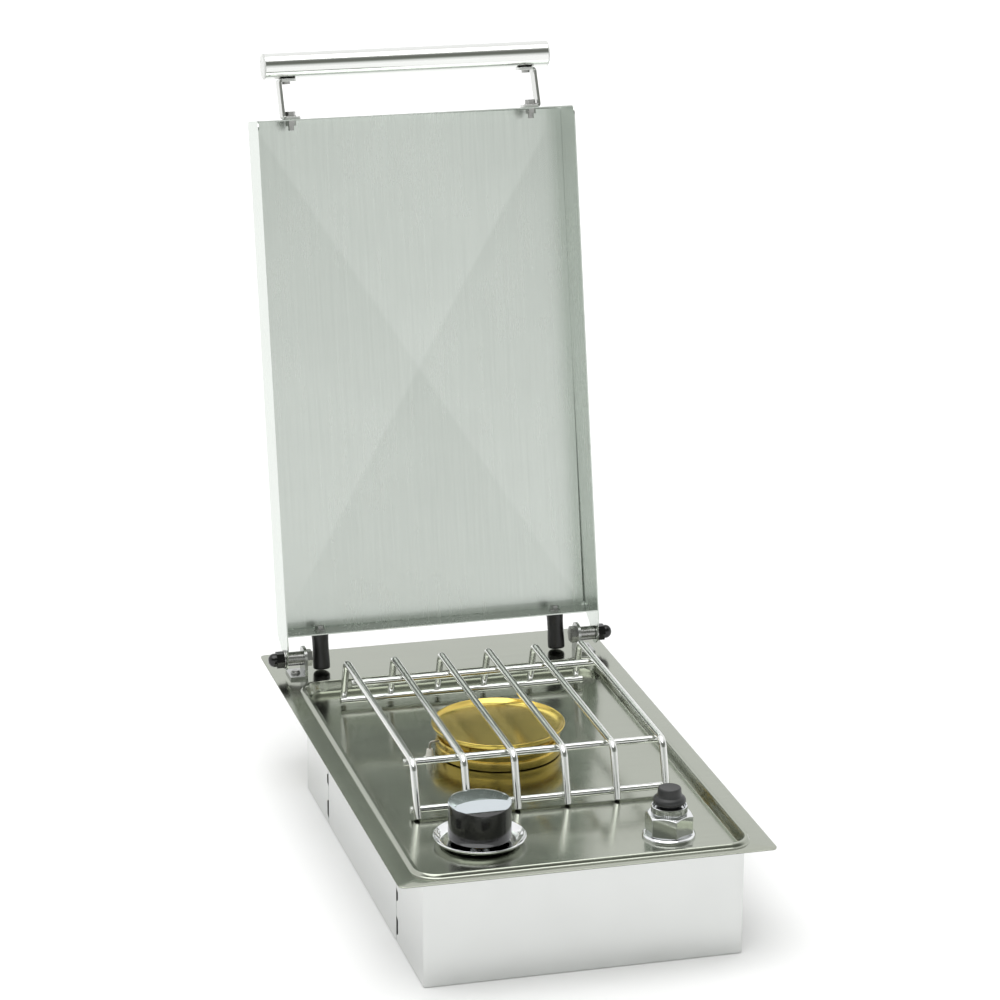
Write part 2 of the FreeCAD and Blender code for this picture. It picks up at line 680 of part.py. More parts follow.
valve_low = pan_floor - 56
block = slab("valve_block", (knob_x - 14, knob_y - 14, valve_low), (knob_x + 14, knob_y + 14, pan_floor - 12))
bonnet = cylinder("valve_bonnet", knob_x, knob_y, pan_floor - 12, bonnet_r, 16.0)
inlet_boss = lying_cylinder("valve_inlet", (knob_x - 22, knob_y, pan_floor - 30), 7.5, 10, (0, 1, 0), 90)
outlet = body_named("valve_outlet", valve_at, ((0, 0, 1), aim))
nodes.remove(outlet)
outlet_sketch = sketch_on(outlet, "XZ_Plane", 0)
add_circle(outlet_sketch, 0, mixer_z, 9.0)
pad(outlet, outlet_sketch, outlet_face, back=True)
solid = doc.addObject("Part::MultiFuse", "valve_solid")
solid.Shapes = [block, bonnet, inlet_boss, outlet]
stem_hole = cylinder("valve_stem_bore", knob_x, knob_y, pan_floor - 40, stem_bore, 60)
chamber = cylinder("valve_spring_bore", knob_x, knob_y, pan_floor - 9, 7.2, 20)
gas_way = lying_cylinder("valve_gas_way", (knob_x - 23, knob_y, pan_floor - 30), 3.2, 16, (0, 1, 0), 90)
valve_holes = doc.addObject("Part::MultiFuse", "valve_holes")
valve_holes.Shapes = [stem_hole, chamber, gas_way]
valve = doc.addObject("Part::Cut", "valve_body")
valve.Base = solid
valve.Tool = valve_holes
valve.Label = "valve_body"
nodes.append(valve)

nozzle = body_named("orifice_nozzle", valve_at, ((0, 0, 1), aim))
for shape, across_it, start, end in (("hex", 12.0, 0, 6.0), ("disc", 4.0, 6.0, 15.0)):
    face = sketch_on(nozzle, "XZ_Plane", -(outlet_face + start))
    if shape == "hex":
        add_hexagon(face, as_size(0), mixer_z, across_it)
    else:
        add_circle(face, 0, mixer_z, across_it)
    pad(nozzle, face, end - start, back=True)
hole_row(nozzle, "XZ_Plane", -(outlet_face + 15), [(0, mixer_z, 0.8)], 16)

mouth = outlet_face + 18
tube_radius = as_size(16.0)
mixer = bent_rod("mixer_tube", "YZ_Plane", [(mouth, mixer_z), (reach, mixer_z), (reach, -24)],
                 tube_radius, 19.0, valve_at, tube_radius - 2.5)
mixer.setExpression("Placement", "placement(vector(%s; %s; %s); rotation(vector(0; 0; 1); %s))" % (
    knob_x.formula, knob_y.formula, pan_floor.formula, aim.formula))

shutter = body_named("air_shutter", valve_at, ((0, 0, 1), aim))
ring_face = sketch_on(shutter, "XZ_Plane", -(mouth - 2))
add_circle(ring_face, 0, mixer_z, tube_radius + 1.3)
pad(shutter, ring_face, 16.0, back=True)
well = sketch_on(shutter, "XZ_Plane", -(mouth - 0.8))
add_circle(well, 0, mixer_z, tube_radius + 0.1)
pocket(shutter, well, 20.0, both=False)
hole_row(shutter, "XZ_Plane", -mouth, [(0, mixer_z, 4.4), (-9.5, mixer_z, 3.4), (9.5, mixer_z, 3.4), (0, mixer_z - 9.5, 3.4), (0, mixer_z + 9.5, 3.4)], 6)

inlet_y = wall_rear - 18
bent_rod("gas_pipe", "XY_Plane", [(pipe_x, inlet_y), (pipe_x, knob_y), (knob_x - 22.1, knob_y)],
         4.8, 12.0, (0, 0, pan_floor - 30), 3.2)
fitting = stacked("inlet_fitting", [
    ("hex", 17.0, [(pipe_x, 0)], -(wall_rear - t - 0.2), -inlet_y),
    ("disc", barb_radius, [(pipe_x, 0)], -(wall_rear + 0.2), -(wall_rear - t - 0.2)),
    ("hex", 19.0, [(pipe_x, 0)], -(wall_rear + 6.0), -(wall_rear + 0.2)),
    ("disc", 7.94, [(pipe_x, 0)], -(wall_rear + 20.0), -(wall_rear + 6.0)),
], "XZ_Plane", (0, 0, pan_floor - 30))
hole_row(fitting, "XZ_Plane", -wall_rear, [(pipe_x, 0, 3.2)], 60)

# ---------------------------------------------------------------- spark electrode and its lead

electrode_at = (electrode_x, electrode_y, pan_floor)
glaze = size["insulator_radius"]
turned("electrode_insulator", [
    (0.95, -18), (glaze - 0.6, -18), (glaze, -6), (glaze, 0), (glaze + 2.1, 0), (glaze + 2.1, 1.6), (glaze, 3),
    (glaze - 0.8, 9), (0.95, 9),
], electrode_at)
bent_rod("electrode_wire", "XZ_Plane", [(0, -24), (0, 15.5), (8.0, 15.5)], 0.85, 2.5, electrode_at)
lead_x = igniter_x - electrode_x
lead_y = igniter_y - electrode_y
lead_long = Size(math.hypot(lead_x.number, lead_y.number), "sqrt(%s^2 + %s^2)" % (lead_x.formula, lead_y.formula))
lead_turn = Size(math.degrees(math.atan(lead_y.number / lead_x.number)), "atan(%s / %s)" % (lead_y.formula, lead_x.formula))
lead = bent_rod("spark_lead", "XZ_Plane", [(0, -24.2), (0, -66), (lead_long, -66), (lead_long, -46.2)],
                1.6, 8.0, electrode_at)
lead.setExpression("Placement", "placement(vector(%s; %s; %s); rotation(vector(0; 0; 1); %s))" % (
    electrode_at[0].formula, electrode_at[1].formula, pan_floor.formula, lead_turn.formula))

# ---------------------------------------------------------------- igniter
# A push igniter clamped through the pan by a tall hexagon nut, with a knurled ring above it.

igniter_at = (igniter_x, igniter_y, pan_floor)
barrel = size["barrel_radius"]
thread = barrel + 0.1
turned("igniter_washer", [(thread, 0), (21.3, 0), (21.3, 1.6), (19.8, 3), (thread, 3)], igniter_at)
nut = stacked("igniter_nut", [("hex", 34.0, [(0, 0)], 3, 19.8)], base=igniter_at)
hole_row(nut, "XY_Plane", 10, [(0, 0, thread)], 30)
round_edges(nut, 1.2, lambda edge: edge.Curve.TypeId == "Part::GeomLine" and at(edge, z=19.8), chamfer=True)
turned("igniter_ring", [
    (thread, 19.9), (14.6, 19.9), (14.6, 25.5), (14.0, 26.3), (13.45, 26.3), (13.45, 20.9), (thread, 20.9),
], igniter_at)
button_bore = size["button_radius"] - 1.5 + size["running"]
turned("igniter_body", [
    (0, -46), (3, -46), (3, -42), (10.0, -42), (10.0, -5), (barrel + 3.6, -5), (barrel + 3.6, -t - 0.05),
    (barrel, -t - 0.05), (barrel, 20.3),
    (button_bore, 20.3), (button_bore, -22), (0, -22),
], igniter_at)
reach_down = as_size(-9.0)
top = as_size(41.2)
turned("igniter_button", [
    (0, reach_down), (size["button_radius"] - 1.5, reach_down), (size["button_radius"] - 1.5, 26.2),
    (10.3, 27.2), (11.6, 27.8), (13.1, 29.2), (13.1, 32.2), (11.8, 33.8), (size["button_radius"] + 0.4, 34.4),
    (size["button_radius"], 35), (size["button_radius"], top - 1), (size["button_radius"] - 1, top), (0, top),
], igniter_at)
turned("igniter_spring", [(4.4, -21.8), (6.4, -21.8), (6.4, -9.2), (4.4, -9.2)], igniter_at)

# ---------------------------------------------------------------- control knob
# A bezel dish on the pan, and the knob on the valve's stem: push in, then turn.

turned("knob_bezel", [
    (bonnet_r + room, 0), (29, 0), (33.5, 1.6), (36.2, 3.6), (size["bezel_radius"], 5.2), (size["bezel_radius"] - 0.2, 6),
    (size["bezel_radius"] - 1.3, 6), (34.8, 4.4), (32.6, 2.8), (28.6, 0.8), (bonnet_r + room, 0.8),
], valve_at)
turned("valve_spring", [(4.8, -8.9), (6.8, -8.9), (6.8, 0.3), (4.8, 0.3)], valve_at)
turned("valve_collar", [(stem_bore, 0.5), (7.0, 0.5), (7.0, 2.5), (stem_bore, 2.5)], valve_at)
stem_r = size["stem_radius"]
stem = turned("valve_stem", [
    (0, -36), (stem_r, -36), (stem_r, 2.8), (6.2, 2.8), (6.2, 4.2), (stem_r, 4.2), (stem_r, 28.6),
    (stem_r - 0.6, 29.2), (0, 29.2),
], valve_at)
flat = sketch_on(stem, "XY_Plane", 9)
add_box(flat, 2.6, -6, 7, 6)
pocket(stem, flat, 30, both=False, back=True)
skirt = as_size(0.8) + size["knob_travel"] + 0.4
knob_r, knob_top = size["knob_radius"], size["knob_tall"]
turned("knob_body", [
    (stem_r + 0.04, 8), (7.5, 8), (7.5, knob_top - 4), (knob_r - 2.8, knob_top - 4), (knob_r - 2.5, skirt),
    (knob_r - 0.4, skirt), (knob_r, skirt + 0.4), (knob_r - 0.2, knob_top), (0, knob_top), (0, knob_top - 2.8),
    (stem_r + 0.04, knob_top - 2.8),
], valve_at)
cap = turned("knob_cap", [
    (0, knob_top), (knob_r - 0.2, knob_top), (knob_r, knob_top + 0.5), (knob_r, knob_top + 1.5),
    (knob_r - 0.8, knob_top + 2.3), (knob_r - 8, knob_top + 3.2), (0, knob_top + 3.8),
], valve_at)
scoop = sketch_on(cap, "XY_Plane", knob_top + 1.2)
add_circle(scoop, 2, -knob_r, knob_r * 0.86)
pocket(cap, scoop, 20, both=False, back=True)

# ---------------------------------------------------------------- grate
# Six long rods with both ends bent down as legs, welded to four cross rods.

rod = size["grate_rod"]
high = size["grate_high"]
splay = size["grate_splay"]
foot_z = as_size(1.3)
foot_out = splay * (high - foot_z) / high
for number in range(6):
    x = size["grate_x"] + grate_pitch * (number - 2.5)
    bent_rod("grate_bar_%d" % (number + 1), "YZ_Plane", [
        (front_bend - foot_out, foot_z), (front_bend, high), (rear_bend, high), (rear_bend + foot_out, foot_z),
    ], rod, size["grate_bend"], (x, 0, pan_floor))
low_z = as_size(6.0)
beside = splay * (high - low_z) / high - rod * 2.13
half_rod = grate_pitch * 2.5 + 4.0
for node, y, z in (
    ("grate_cross_front_top", front_bend + 17.5, high - rod * 2),
    ("grate_cross_rear_top", rear_bend - 36.5, high - rod * 2),
    ("grate_cross_front_low", front_bend - beside, low_z),
    ("grate_cross_rear_low", rear_bend + beside, low_z),
):
    stacked(node, [("disc", rod, [(0, 0)], size["grate_x"] - half_rod, size["grate_x"] + half_rod)],
            "YZ_Plane", (0, y, pan_floor + z))

# ---------------------------------------------------------------- hinges
# On each side a bent bracket screwed to the rear margin, a bolt through its leaf, a spacer and the
# lid's ear, and an acorn nut outside.

pivot_z = deck_top + size["pivot_high"]
leaf_in = leaf_out - 2.5
ear_out = half_lid
ear_in = ear_out - t
bolt_r = size["pivot_radius"]
for node, side in (("hinge_bracket_left", -1), ("hinge_bracket_right", 1)):
    body = body_named(node, (0, pivot_y, deck_top))
    profile = sketch_on(body, "XZ_Plane", 0)
    height = size["pivot_high"] + 10
    toe = leaf_out + 13
    add_polygon(profile, [
        (leaf_in * side, 0), (leaf_in * side, height), (leaf_out * side, height),
        (leaf_out * side, 2.5), (toe * side, 2.5), (toe * side, 0),
    ])
    pad(body, profile, 22.0, both=True)
    round_edges(body, 9.0, lambda edge: runs_along(edge, Vector(1, 0, 0)) and edge.BoundBox.ZMax > height.number - 0.1)
    hole_row(body, "YZ_Plane", leaf_out * side, [(0, size["pivot_high"], bolt_r + 0.05)], 8)
    hole_row(body, "XY_Plane", 0, [(hinge_foot[0] * side, 0, 2.2)], 8)

hinge_centres = [(hinge_foot[0] * side, 0) for side in (-1, 1)]
screws = stacked("hinge_screws", [
    ("disc", 2.1, hinge_centres, -7.0, 2.5),
    ("disc", 4.2, hinge_centres, 2.5, 5.1),
], base=(0, pivot_y, deck_top))
round_edges(screws, 1.9, lambda edge: edge.Curve.TypeId == "Part::GeomCircle" and at(edge, z=5.1))


def pair(shape, across_it, start, end):
    """The same tier on the left and on the right, measured outward from the middle."""
    start, end = as_size(start), as_size(end)
    return [(shape, across_it, [(0, 0)], start, end), (shape, across_it, [(0, 0)], -end, -start)]


hinge_at = (0, pivot_y, pivot_z)
washer_in = ear_out + size["gap"]
stacked("hinge_bolts", pair("hex", 13.0, leaf_in - 5.3, leaf_in) + pair("disc", bolt_r, leaf_in, washer_in + 7.2),
        "YZ_Plane", hinge_at)
spacers = stacked("hinge_spacers", pair("disc", 6.2, leaf_out, ear_in - size["gap"]), "YZ_Plane", hinge_at)
hole_row(spacers, "YZ_Plane", 0, [(0, 0, bolt_r + 0.05)], 400)
washers = stacked("hinge_washers", pair("disc", 8.2, washer_in, washer_in + 1.0), "YZ_Plane", hinge_at)
hole_row(washers, "YZ_Plane", 0, [(0, 0, bolt_r + 0.05)], 400)
acorn_in = washer_in + 1.0
acorns = stacked("hinge_acorn_nuts", pair("hex", 13.0, acorn_in, acorn_in + 6.5)
                 + pair("disc", 6.0, acorn_in + 6.5, acorn_in + 13.5), "YZ_Plane", hinge_at)
dome_x = (acorn_in + 13.5).number
round_edges(acorns, 5.4, lambda edge: edge.Curve.TypeId == "Part::GeomCircle" and abs(abs(edge.BoundBox.Center.x) - dome_x) < 0.01)
hole_row(acorns, "YZ_Plane", 0, [(0, 0, bolt_r + 0.02)], (washer_in + 7.4) * 2)

# ---------------------------------------------------------------- lid
# One shallow folded pan, modelled upright about its hinge axis and leaned back to its open pose.

lid_at = (0, pivot_y, pivot_z)
lean = ((1, 0, 0), size["lid_tilt"])
skin_y = pivot_deep
edge_y = skin_y - size["lid_deep"]
low_z = size["pivot_drop"]
high_z = low_z + lid_long
lid = body_named("lid_shell", lid_at, lean)
ear = size["ear_radius"]
for side in (-1, 1):
    flank = sketch_on(lid, "YZ_Plane", half_lid * side - t * (side > 0))
    add_polygon(flank, [
        (skin_y, high_z), (edge_y + 8, high_z), (edge_y + 2.3, high_z - 2.3), (edge_y, high_z - 8),
        (edge_y, 14), (edge_y + 3.0, 6), (-ear, 0), (-ear * 0.707, -ear * 0.707), (0, -ear),
        (ear * 0.707, -ear * 0.707), (ear, 0), (ear + 3.5, 6.5), (skin_y - 8.5, 13), (skin_y - 2.5, 18), (skin_y, 24),
    ])
    pad(lid, flank, t)
skin = sketch_on(lid, "XZ_Plane", -skin_y)
add_box(skin, -half_lid, low_z, half_lid, high_z)
pad(lid, skin, t)
for start in (low_z, high_z - t):
    fold = sketch_on(lid, "XY_Plane", start)
    fold_front = edge_y if start is low_z else edge_y + 2.3
    add_box(fold, -half_lid, fold_front, half_lid, skin_y)
    pad(lid, fold, t)
strap_y = skin_y - size["strap_deep"]
strap_out = half_lid - size["strap_inset"]
bolt_x = strap_out - 8.0
hole_row(lid, "YZ_Plane", 0, [(0, 0, bolt_r + size["running"])], 400)
hole_row(lid, "XY_Plane", high_z, [(bolt_x, strap_y, 2.6), (-bolt_x, strap_y, 2.6)], 8)
bumper_x = half_lid - size["bumper_inset"]
bumper_y = skin_y - size["bumper_deep"]
hole_row(lid, "XY_Plane", low_z, [(bumper_x, bumper_y, 2.2), (-bumper_x, bumper_y, 2.2)], 8)

# ---------------------------------------------------------------- handle
# A round tube carried in front of the lid's edge by two bent straps, bolted to the front flange.

tube_z = high_z + size["handle_reach"]
tube_y = skin_y - size["handle_deep"]
tube_r = size["handle_radius"]
half_tube = half_lid - size["handle_inset"]
tube = stacked("handle_tube", [("disc", tube_r, [(tube_y, tube_z)], -half_tube, half_tube)], "YZ_Plane", lid_at, lean)
hole_row(tube, "YZ_Plane", 0, [(tube_y, tube_z, tube_r - 1.5)], 400)
hole_row(tube, "XY_Plane", tube_z - tube_r, [(bolt_x, tube_y, 2.1), (-bolt_x, tube_y, 2.1)], 6)
stacked("handle_caps", [
    (shape, across_it, [(tube_y, tube_z)], start, end)
    for across_it, near, far in ((tube_r - 1.55, half_tube - 6, half_tube), (tube_r, half_tube, half_tube + 1.5))
    for shape, start, end in (("disc", near, far), ("disc", -far, -near))
], "YZ_Plane", lid_at, lean)
strap_top = tube_z - tube_r
strap_t = size["strap_thick"]
for node, side in (("handle_strap_left", -1), ("handle_strap_right", 1)):
    strap = body_named(node, lid_at, lean)
    leaf = sketch_on(strap, "YZ_Plane", strap_out * side - strap_t * (side > 0))
    add_polygon(leaf, [
        (strap_y - 7, high_z), (strap_y + 7, high_z), (tube_y + 7, strap_top), (tube_y - 7, strap_top),
    ])
    pad(strap, leaf, strap_t)
    for start, middle in ((high_z, strap_y), (strap_top - strap_t, tube_y)):
        tab = sketch_on(strap, "XY_Plane", start)
        inner, outer = (strap_out - 16) * side, (strap_out - 0.5) * side
        low, far = (inner, outer) if side > 0 else (outer, inner)
        add_box(tab, low, middle - 6.9, far, middle + 6.9)
        pad(strap, tab, strap_t)
    hole_row(strap, "XY_Plane", high_z, [(bolt_x * side, strap_y, 2.6)], 8)
    hole_row(strap, "XY_Plane", strap_top, [(bolt_x * side, tube_y, 2.1)], 8)

foot_spots = [(bolt_x, strap_y), (-bolt_x, strap_y)]
tab_spots = [(bolt_x, tube_y), (-bolt_x, tube_y)]
foot_top = high_z + strap_t
stacked("handle_bolts", [
    ("disc", 2.5, foot_spots, high_z - 9.5, foot_top), ("disc", 5.2, foot_spots, foot_top, foot_top + 0.9),
    ("hex", 8.0, foot_spots, foot_top + 0.9, foot_top + 4.4),
], base=lid_at, turn=lean)
lid_nuts = stacked("handle_nuts", [("hex", 8.0, foot_spots, high_z - t - 4.5, high_z - t)], base=lid_at, turn=lean)
hole_row(lid_nuts, "XY_Plane", high_z - 3, [(x, y, 2.52) for x, y in foot_spots], 20)
stacked("handle_screws", [
    ("disc", 3.6, tab_spots, strap_top - strap_t - 2.4, strap_top - strap_t),
    ("disc", 2.0, tab_spots, strap_top - strap_t, strap_top + 4),
], base=lid_at, turn=lean)

# ---------------------------------------------------------------- lid stops
# Rubber bumpers under the lid's rear flange. They stand on the flange when the lid is open.

bumper_top = low_z
lean_sine = Size(math.sin(math.radians(size["lid_tilt"].number)), "sin(dims.lid_tilt)")
lean_cosine = Size(math.cos(math.radians(size["lid_tilt"].number)), "cos(dims.lid_tilt)")
heel_y = bumper_y + size["bumper_radius"]
bumper_foot = (size["bumper_lift"] - size["pivot_high"] - heel_y * lean_sine) / lean_cosine
for node, side in (("bumper_left", -1), ("bumper_right", 1)):
    spot = [(bumper_x * side, bumper_y)]
    bumper = stacked(node, [("disc", size["bumper_radius"], spot, bumper_foot, bumper_top)], base=lid_at, turn=lean)
    foot = bumper_foot.number
    round_edges(bumper, 0.8, lambda edge: edge.Curve.TypeId == "Part::GeomCircle" and at(edge, z=foot))
    hole_row(bumper, "XY_Plane", bumper_top, [(spot[0][0], bumper_y, 2.05)], 26)
bumper_spots = [(bumper_x, bumper_y), (-bumper_x, bumper_y)]
stacked("bumper_screws", [
    ("disc", 2.0, bumper_spots, low_z - 12, low_z + t), ("disc", 5.0, bumper_spots, low_z + t, low_z + t + 0.9),
    ("hex", 7.0, bumper_spots, low_z + t + 0.9, low_z + t + 4.0),
], base=lid_at, turn=lean)

# ---------------------------------------------------------------- check and export

doc.recompute()
for item in doc.Objects:
    if "Invalid" in item.State or "Error" in item.State:
        raise RuntimeError("%s did not build: %s" % (item.Name, item.State))
os.makedirs("parts", exist_ok=True)
for item in nodes:
    shape = item.Shape
    if shape.isNull() or not shape.isValid() or not shape.Solids:
        raise RuntimeError(item.Label + " has no valid solid")
    shape.exportStep("parts/%s.step" % item.Label)
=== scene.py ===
import json
import math

import bmesh
import bpy
from mathutils import Matrix, Vector


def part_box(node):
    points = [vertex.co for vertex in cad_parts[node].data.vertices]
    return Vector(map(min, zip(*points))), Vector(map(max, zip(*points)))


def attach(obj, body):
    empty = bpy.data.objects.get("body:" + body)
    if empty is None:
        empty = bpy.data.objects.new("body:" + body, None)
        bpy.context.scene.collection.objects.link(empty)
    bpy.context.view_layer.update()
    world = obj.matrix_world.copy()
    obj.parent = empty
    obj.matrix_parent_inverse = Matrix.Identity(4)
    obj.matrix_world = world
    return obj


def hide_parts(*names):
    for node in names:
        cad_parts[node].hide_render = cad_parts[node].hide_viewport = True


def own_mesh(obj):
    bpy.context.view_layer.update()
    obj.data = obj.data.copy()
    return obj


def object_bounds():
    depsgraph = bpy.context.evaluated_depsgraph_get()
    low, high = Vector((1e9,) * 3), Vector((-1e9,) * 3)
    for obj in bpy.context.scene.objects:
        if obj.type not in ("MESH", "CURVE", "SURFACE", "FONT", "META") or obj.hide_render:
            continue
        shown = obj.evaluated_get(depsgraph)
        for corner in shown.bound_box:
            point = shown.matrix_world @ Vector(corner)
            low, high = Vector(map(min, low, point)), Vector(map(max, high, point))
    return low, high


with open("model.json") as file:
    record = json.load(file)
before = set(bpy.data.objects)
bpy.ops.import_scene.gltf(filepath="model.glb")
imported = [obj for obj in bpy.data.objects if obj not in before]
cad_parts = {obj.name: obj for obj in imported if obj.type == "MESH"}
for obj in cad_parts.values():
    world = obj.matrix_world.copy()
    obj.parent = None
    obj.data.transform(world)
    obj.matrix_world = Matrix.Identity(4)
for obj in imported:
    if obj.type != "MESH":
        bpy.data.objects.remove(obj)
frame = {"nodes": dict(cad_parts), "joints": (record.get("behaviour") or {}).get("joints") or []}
cad_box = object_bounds()
nodes = frame["nodes"]


# ---------------------------------------------------------------- the studio
# The burner stands open on a white table, under one broad soft light overhead. The room is white
# low down and darker above eye level, which gives the polished parts their dark bands.

class Signal:
    """A value inside a node tree, written as arithmetic: each operator adds its Math node."""

    def __init__(self, tree, socket):
        self.tree = tree
        self.socket = socket

    def math(self, operation, left, right):
        return self.tree.node("ShaderNodeMath", {"operation": operation}, {0: left, 1: right})

    def __add__(self, other):
        return self.math("ADD", self, other)

    def __radd__(self, other):
        return self.math("ADD", other, self)

    def __sub__(self, other):
        return self.math("SUBTRACT", self, other)

    def __rsub__(self, other):
        return self.math("SUBTRACT", other, self)

    def __mul__(self, other):
        return self.math("MULTIPLY", self, other)

    def __rmul__(self, other):
        return self.math("MULTIPLY", other, self)


class Tree:
    """A node tree that is being written."""

    def __init__(self, node_tree):
        self.nodes = node_tree.nodes
        self.links = node_tree.links
        self.nodes.clear()

    def node(self, kind, settings=None, inputs=None, output=0):
        """Adds one node: its settings first, then a value or a link for each socket named."""
        item = self.nodes.new(kind)
        for name, value in (settings or {}).items():
            if name == "stops":
                for number, (position, colour) in enumerate(value):
                    stop = item.color_ramp.elements[0] if number == 0 else item.color_ramp.elements.new(
                        position
                    )
                    stop.position = position
                    stop.color = (*colour, 1.0)
                item.color_ramp.elements.remove(item.color_ramp.elements[-1])
            else:
                setattr(item, name, value)
        for socket, value in (inputs or {}).items():
            if isinstance(value, Signal):
                self.links.new(value.socket, item.inputs[socket])
            else:
                item.inputs[socket].default_value = value
        return Signal(self, item.outputs[output]) if len(item.outputs) else None


camera_place = Vector((-0.76353, -2.80839, 1.24487))
heading, dip, roll = math.radians(15.1539), math.radians(17.8349), math.radians(0.2714)
ahead = Vector((math.sin(heading) * math.cos(dip), math.cos(heading) * math.cos(dip), -math.sin(dip)))
level = Vector((math.cos(heading), -math.sin(heading), 0.0))
upward = level.cross(ahead)
camera_right = level * math.cos(roll) + upward * math.sin(roll)
camera_up = upward * math.cos(roll) - level * math.sin(roll)
lens = bpy.data.cameras.new("camera")
lens.lens = 134.354
lens.sensor_width = 36.0
lens.clip_end = 100.0
camera = bpy.data.objects.new("camera", lens)
camera.matrix_world = Matrix.Translation(camera_place) @ Matrix((camera_right, camera_up, -ahead)).transposed().to_4x4(
    
)
bpy.context.scene.collection.objects.link(camera)
bpy.context.scene.camera = camera
bpy.context.scene.view_settings.view_transform = "Standard"

table_mesh = bpy.data.meshes.new("table_top")
shape = bmesh.new()
bmesh.ops.create_grid(shape, x_segments=1, y_segments=1, size=30.0)
bmesh.ops.translate(shape, verts=shape.verts, vec=(0, 0, cad_box[0].z - 0.0005))
shape.to_mesh(table_mesh)
shape.free()
table_top = bpy.data.objects.new("table_top", table_mesh)
bpy.context.scene.collection.objects.link(table_top)
table_paint = bpy.data.materials.new("table_paint")
table_paint.use_nodes = True
paint = Tree(table_paint.node_tree)
fleck = paint.node("ShaderNodeTexNoise", None, {"Scale": 3.0})
tint = paint.node(
    "ShaderNodeMix", {"data_type": "RGBA"},
    {0: fleck, 6: (0.93, 0.93, 0.93, 1), 7: (0.95, 0.95, 0.95, 1)}, 2,
)
lit = paint.node("ShaderNodeBsdfDiffuse", None, {"Color": tint})
paint.node("ShaderNodeOutputMaterial", None, {"Surface": lit})
table_mesh.materials.append(table_paint)

room = bpy.data.worlds.new("room")
room.use_nodes = True
bpy.context.scene.world = room
air = Tree(room.node_tree)
direction = air.node("ShaderNodeTexCoord", None, None, "Generated")
height = air.node("ShaderNodeSeparateXYZ", None, {"Vector": direction}, "Z")
facing = air.node("ShaderNodeSeparateXYZ", None, {"Vector": direction}, "Y")
front_bands = [
    (0.00, (1.00, 1.00, 1.00)), (0.54, (1.00, 1.00, 1.00)), (0.60, (0.80, 0.82, 0.80)),
    (0.66, (0.36, 0.38, 0.35)),
    (0.72, (0.17, 0.18, 0.16)), (0.86, (0.17, 0.18, 0.16)), (0.93, (0.60, 0.61, 0.59)),
    (1.00, (1.60, 1.60, 1.58)),
]
rear_bands = [
    (0.00, (1.00, 1.00, 1.00)), (0.60, (0.95, 0.96, 0.96)), (0.80, (1.10, 1.10, 1.10)),
    (1.00, (1.60, 1.60, 1.58)),
]
front_glow = air.node("ShaderNodeValToRGB", {"stops": front_bands}, {"Fac": height * 0.5 + 0.5})
rear_glow = air.node("ShaderNodeValToRGB", {"stops": rear_bands}, {"Fac": height * 0.5 + 0.5})
behind = air.node("ShaderNodeMapRange", None, {"Value": facing, "From Min": -0.35, "From Max": 0.10})
glow = air.node("ShaderNodeMix", {"data_type": "RGBA"}, {0: behind, 6: front_glow, 7: rear_glow}, 2)
backdrop = air.node("ShaderNodeBackground", None, {"Color": glow, "Strength": 1.0})
air.node("ShaderNodeOutputWorld", None, {"Surface": backdrop})

ceiling = bpy.data.lights.new("ceiling", "SUN")
ceiling.energy = 1.6
ceiling.angle = math.radians(60.0)
ceiling_light = bpy.data.objects.new("ceiling", ceiling)
ceiling_light.rotation_euler = (math.radians(8.0), math.radians(-10.0), 0.0)
bpy.context.scene.collection.objects.link(ceiling_light)


# ---------------------------------------------------------------- deck pan
# One sheet of stainless steel, pressed: a flat flange, a raised bead all round and a sunken floor.
# The burner, valve, electrode and igniter pass through holes in the floor.

def brushed(name, colour, along, roughness, streaks=0.10, smudges=0.08, fine=0.00004, lean=0.0, waves=0.0):
    """Stainless steel, brushed along one axis of its sheet, a little wavy and smudged by handling."""
    material = bpy.data.materials.new(name)
    material.use_nodes = True
    tree = Tree(material.node_tree)
    place = tree.node("ShaderNodeTexCoord", None, None, "Object")
    stretch = [420.0, 420.0, 420.0]
    stretch["XYZ".index(along)] = 9.0
    stood = tree.node("ShaderNodeMapping", None, {"Vector": place, "Rotation": (lean, 0.0, 0.0)})
    laid = tree.node("ShaderNodeMapping", None, {"Vector": stood, "Scale": stretch})
    lines = tree.node(
        "ShaderNodeTexNoise", None, {"Vector": laid, "Scale": 1.0, "Detail": 4.0, "Roughness": 0.6},
    )
    clouds = tree.node("ShaderNodeTexNoise", None, {"Vector": place, "Scale": 11.0, "Detail": 3.0})
    prints = tree.node("ShaderNodeTexNoise", None, {"Vector": place, "Scale": 46.0, "Detail": 2.0})
    shade = lines * 0.55 + clouds * 0.45
    dark = [c * (1.0 - streaks * 1.6) for c in colour] + [1.0]
    light = [min(1.0, c * (1.0 + streaks * 1.6)) for c in colour] + [1.0]
    tone = tree.node("ShaderNodeMix", {"data_type": "RGBA"}, {0: shade, 6: dark, 7: light}, 2)
    rough = (lines - 0.5) * streaks + (clouds - 0.5) * smudges + (prints - 0.5) * smudges * 0.6 + roughness
    swell = tree.node("ShaderNodeTexNoise", None, {"Vector": place, "Scale": 7.0, "Detail": 1.0})
    wavy = tree.node("ShaderNodeBump", None, {"Height": swell, "Strength": 1.0, "Distance": waves})
    bump = tree.node(
        "ShaderNodeBump", None,
        {"Height": lines, "Strength": 0.35, "Distance": fine, "Normal": wavy},
    )
    shader = tree.node("ShaderNodeBsdfPrincipled", None, {
        "Base Color": tone, "Metallic": 1.0, "Roughness": rough, "Normal": bump,
    })
    tree.node("ShaderNodeOutputMaterial", None, {"Surface": shader})
    return material


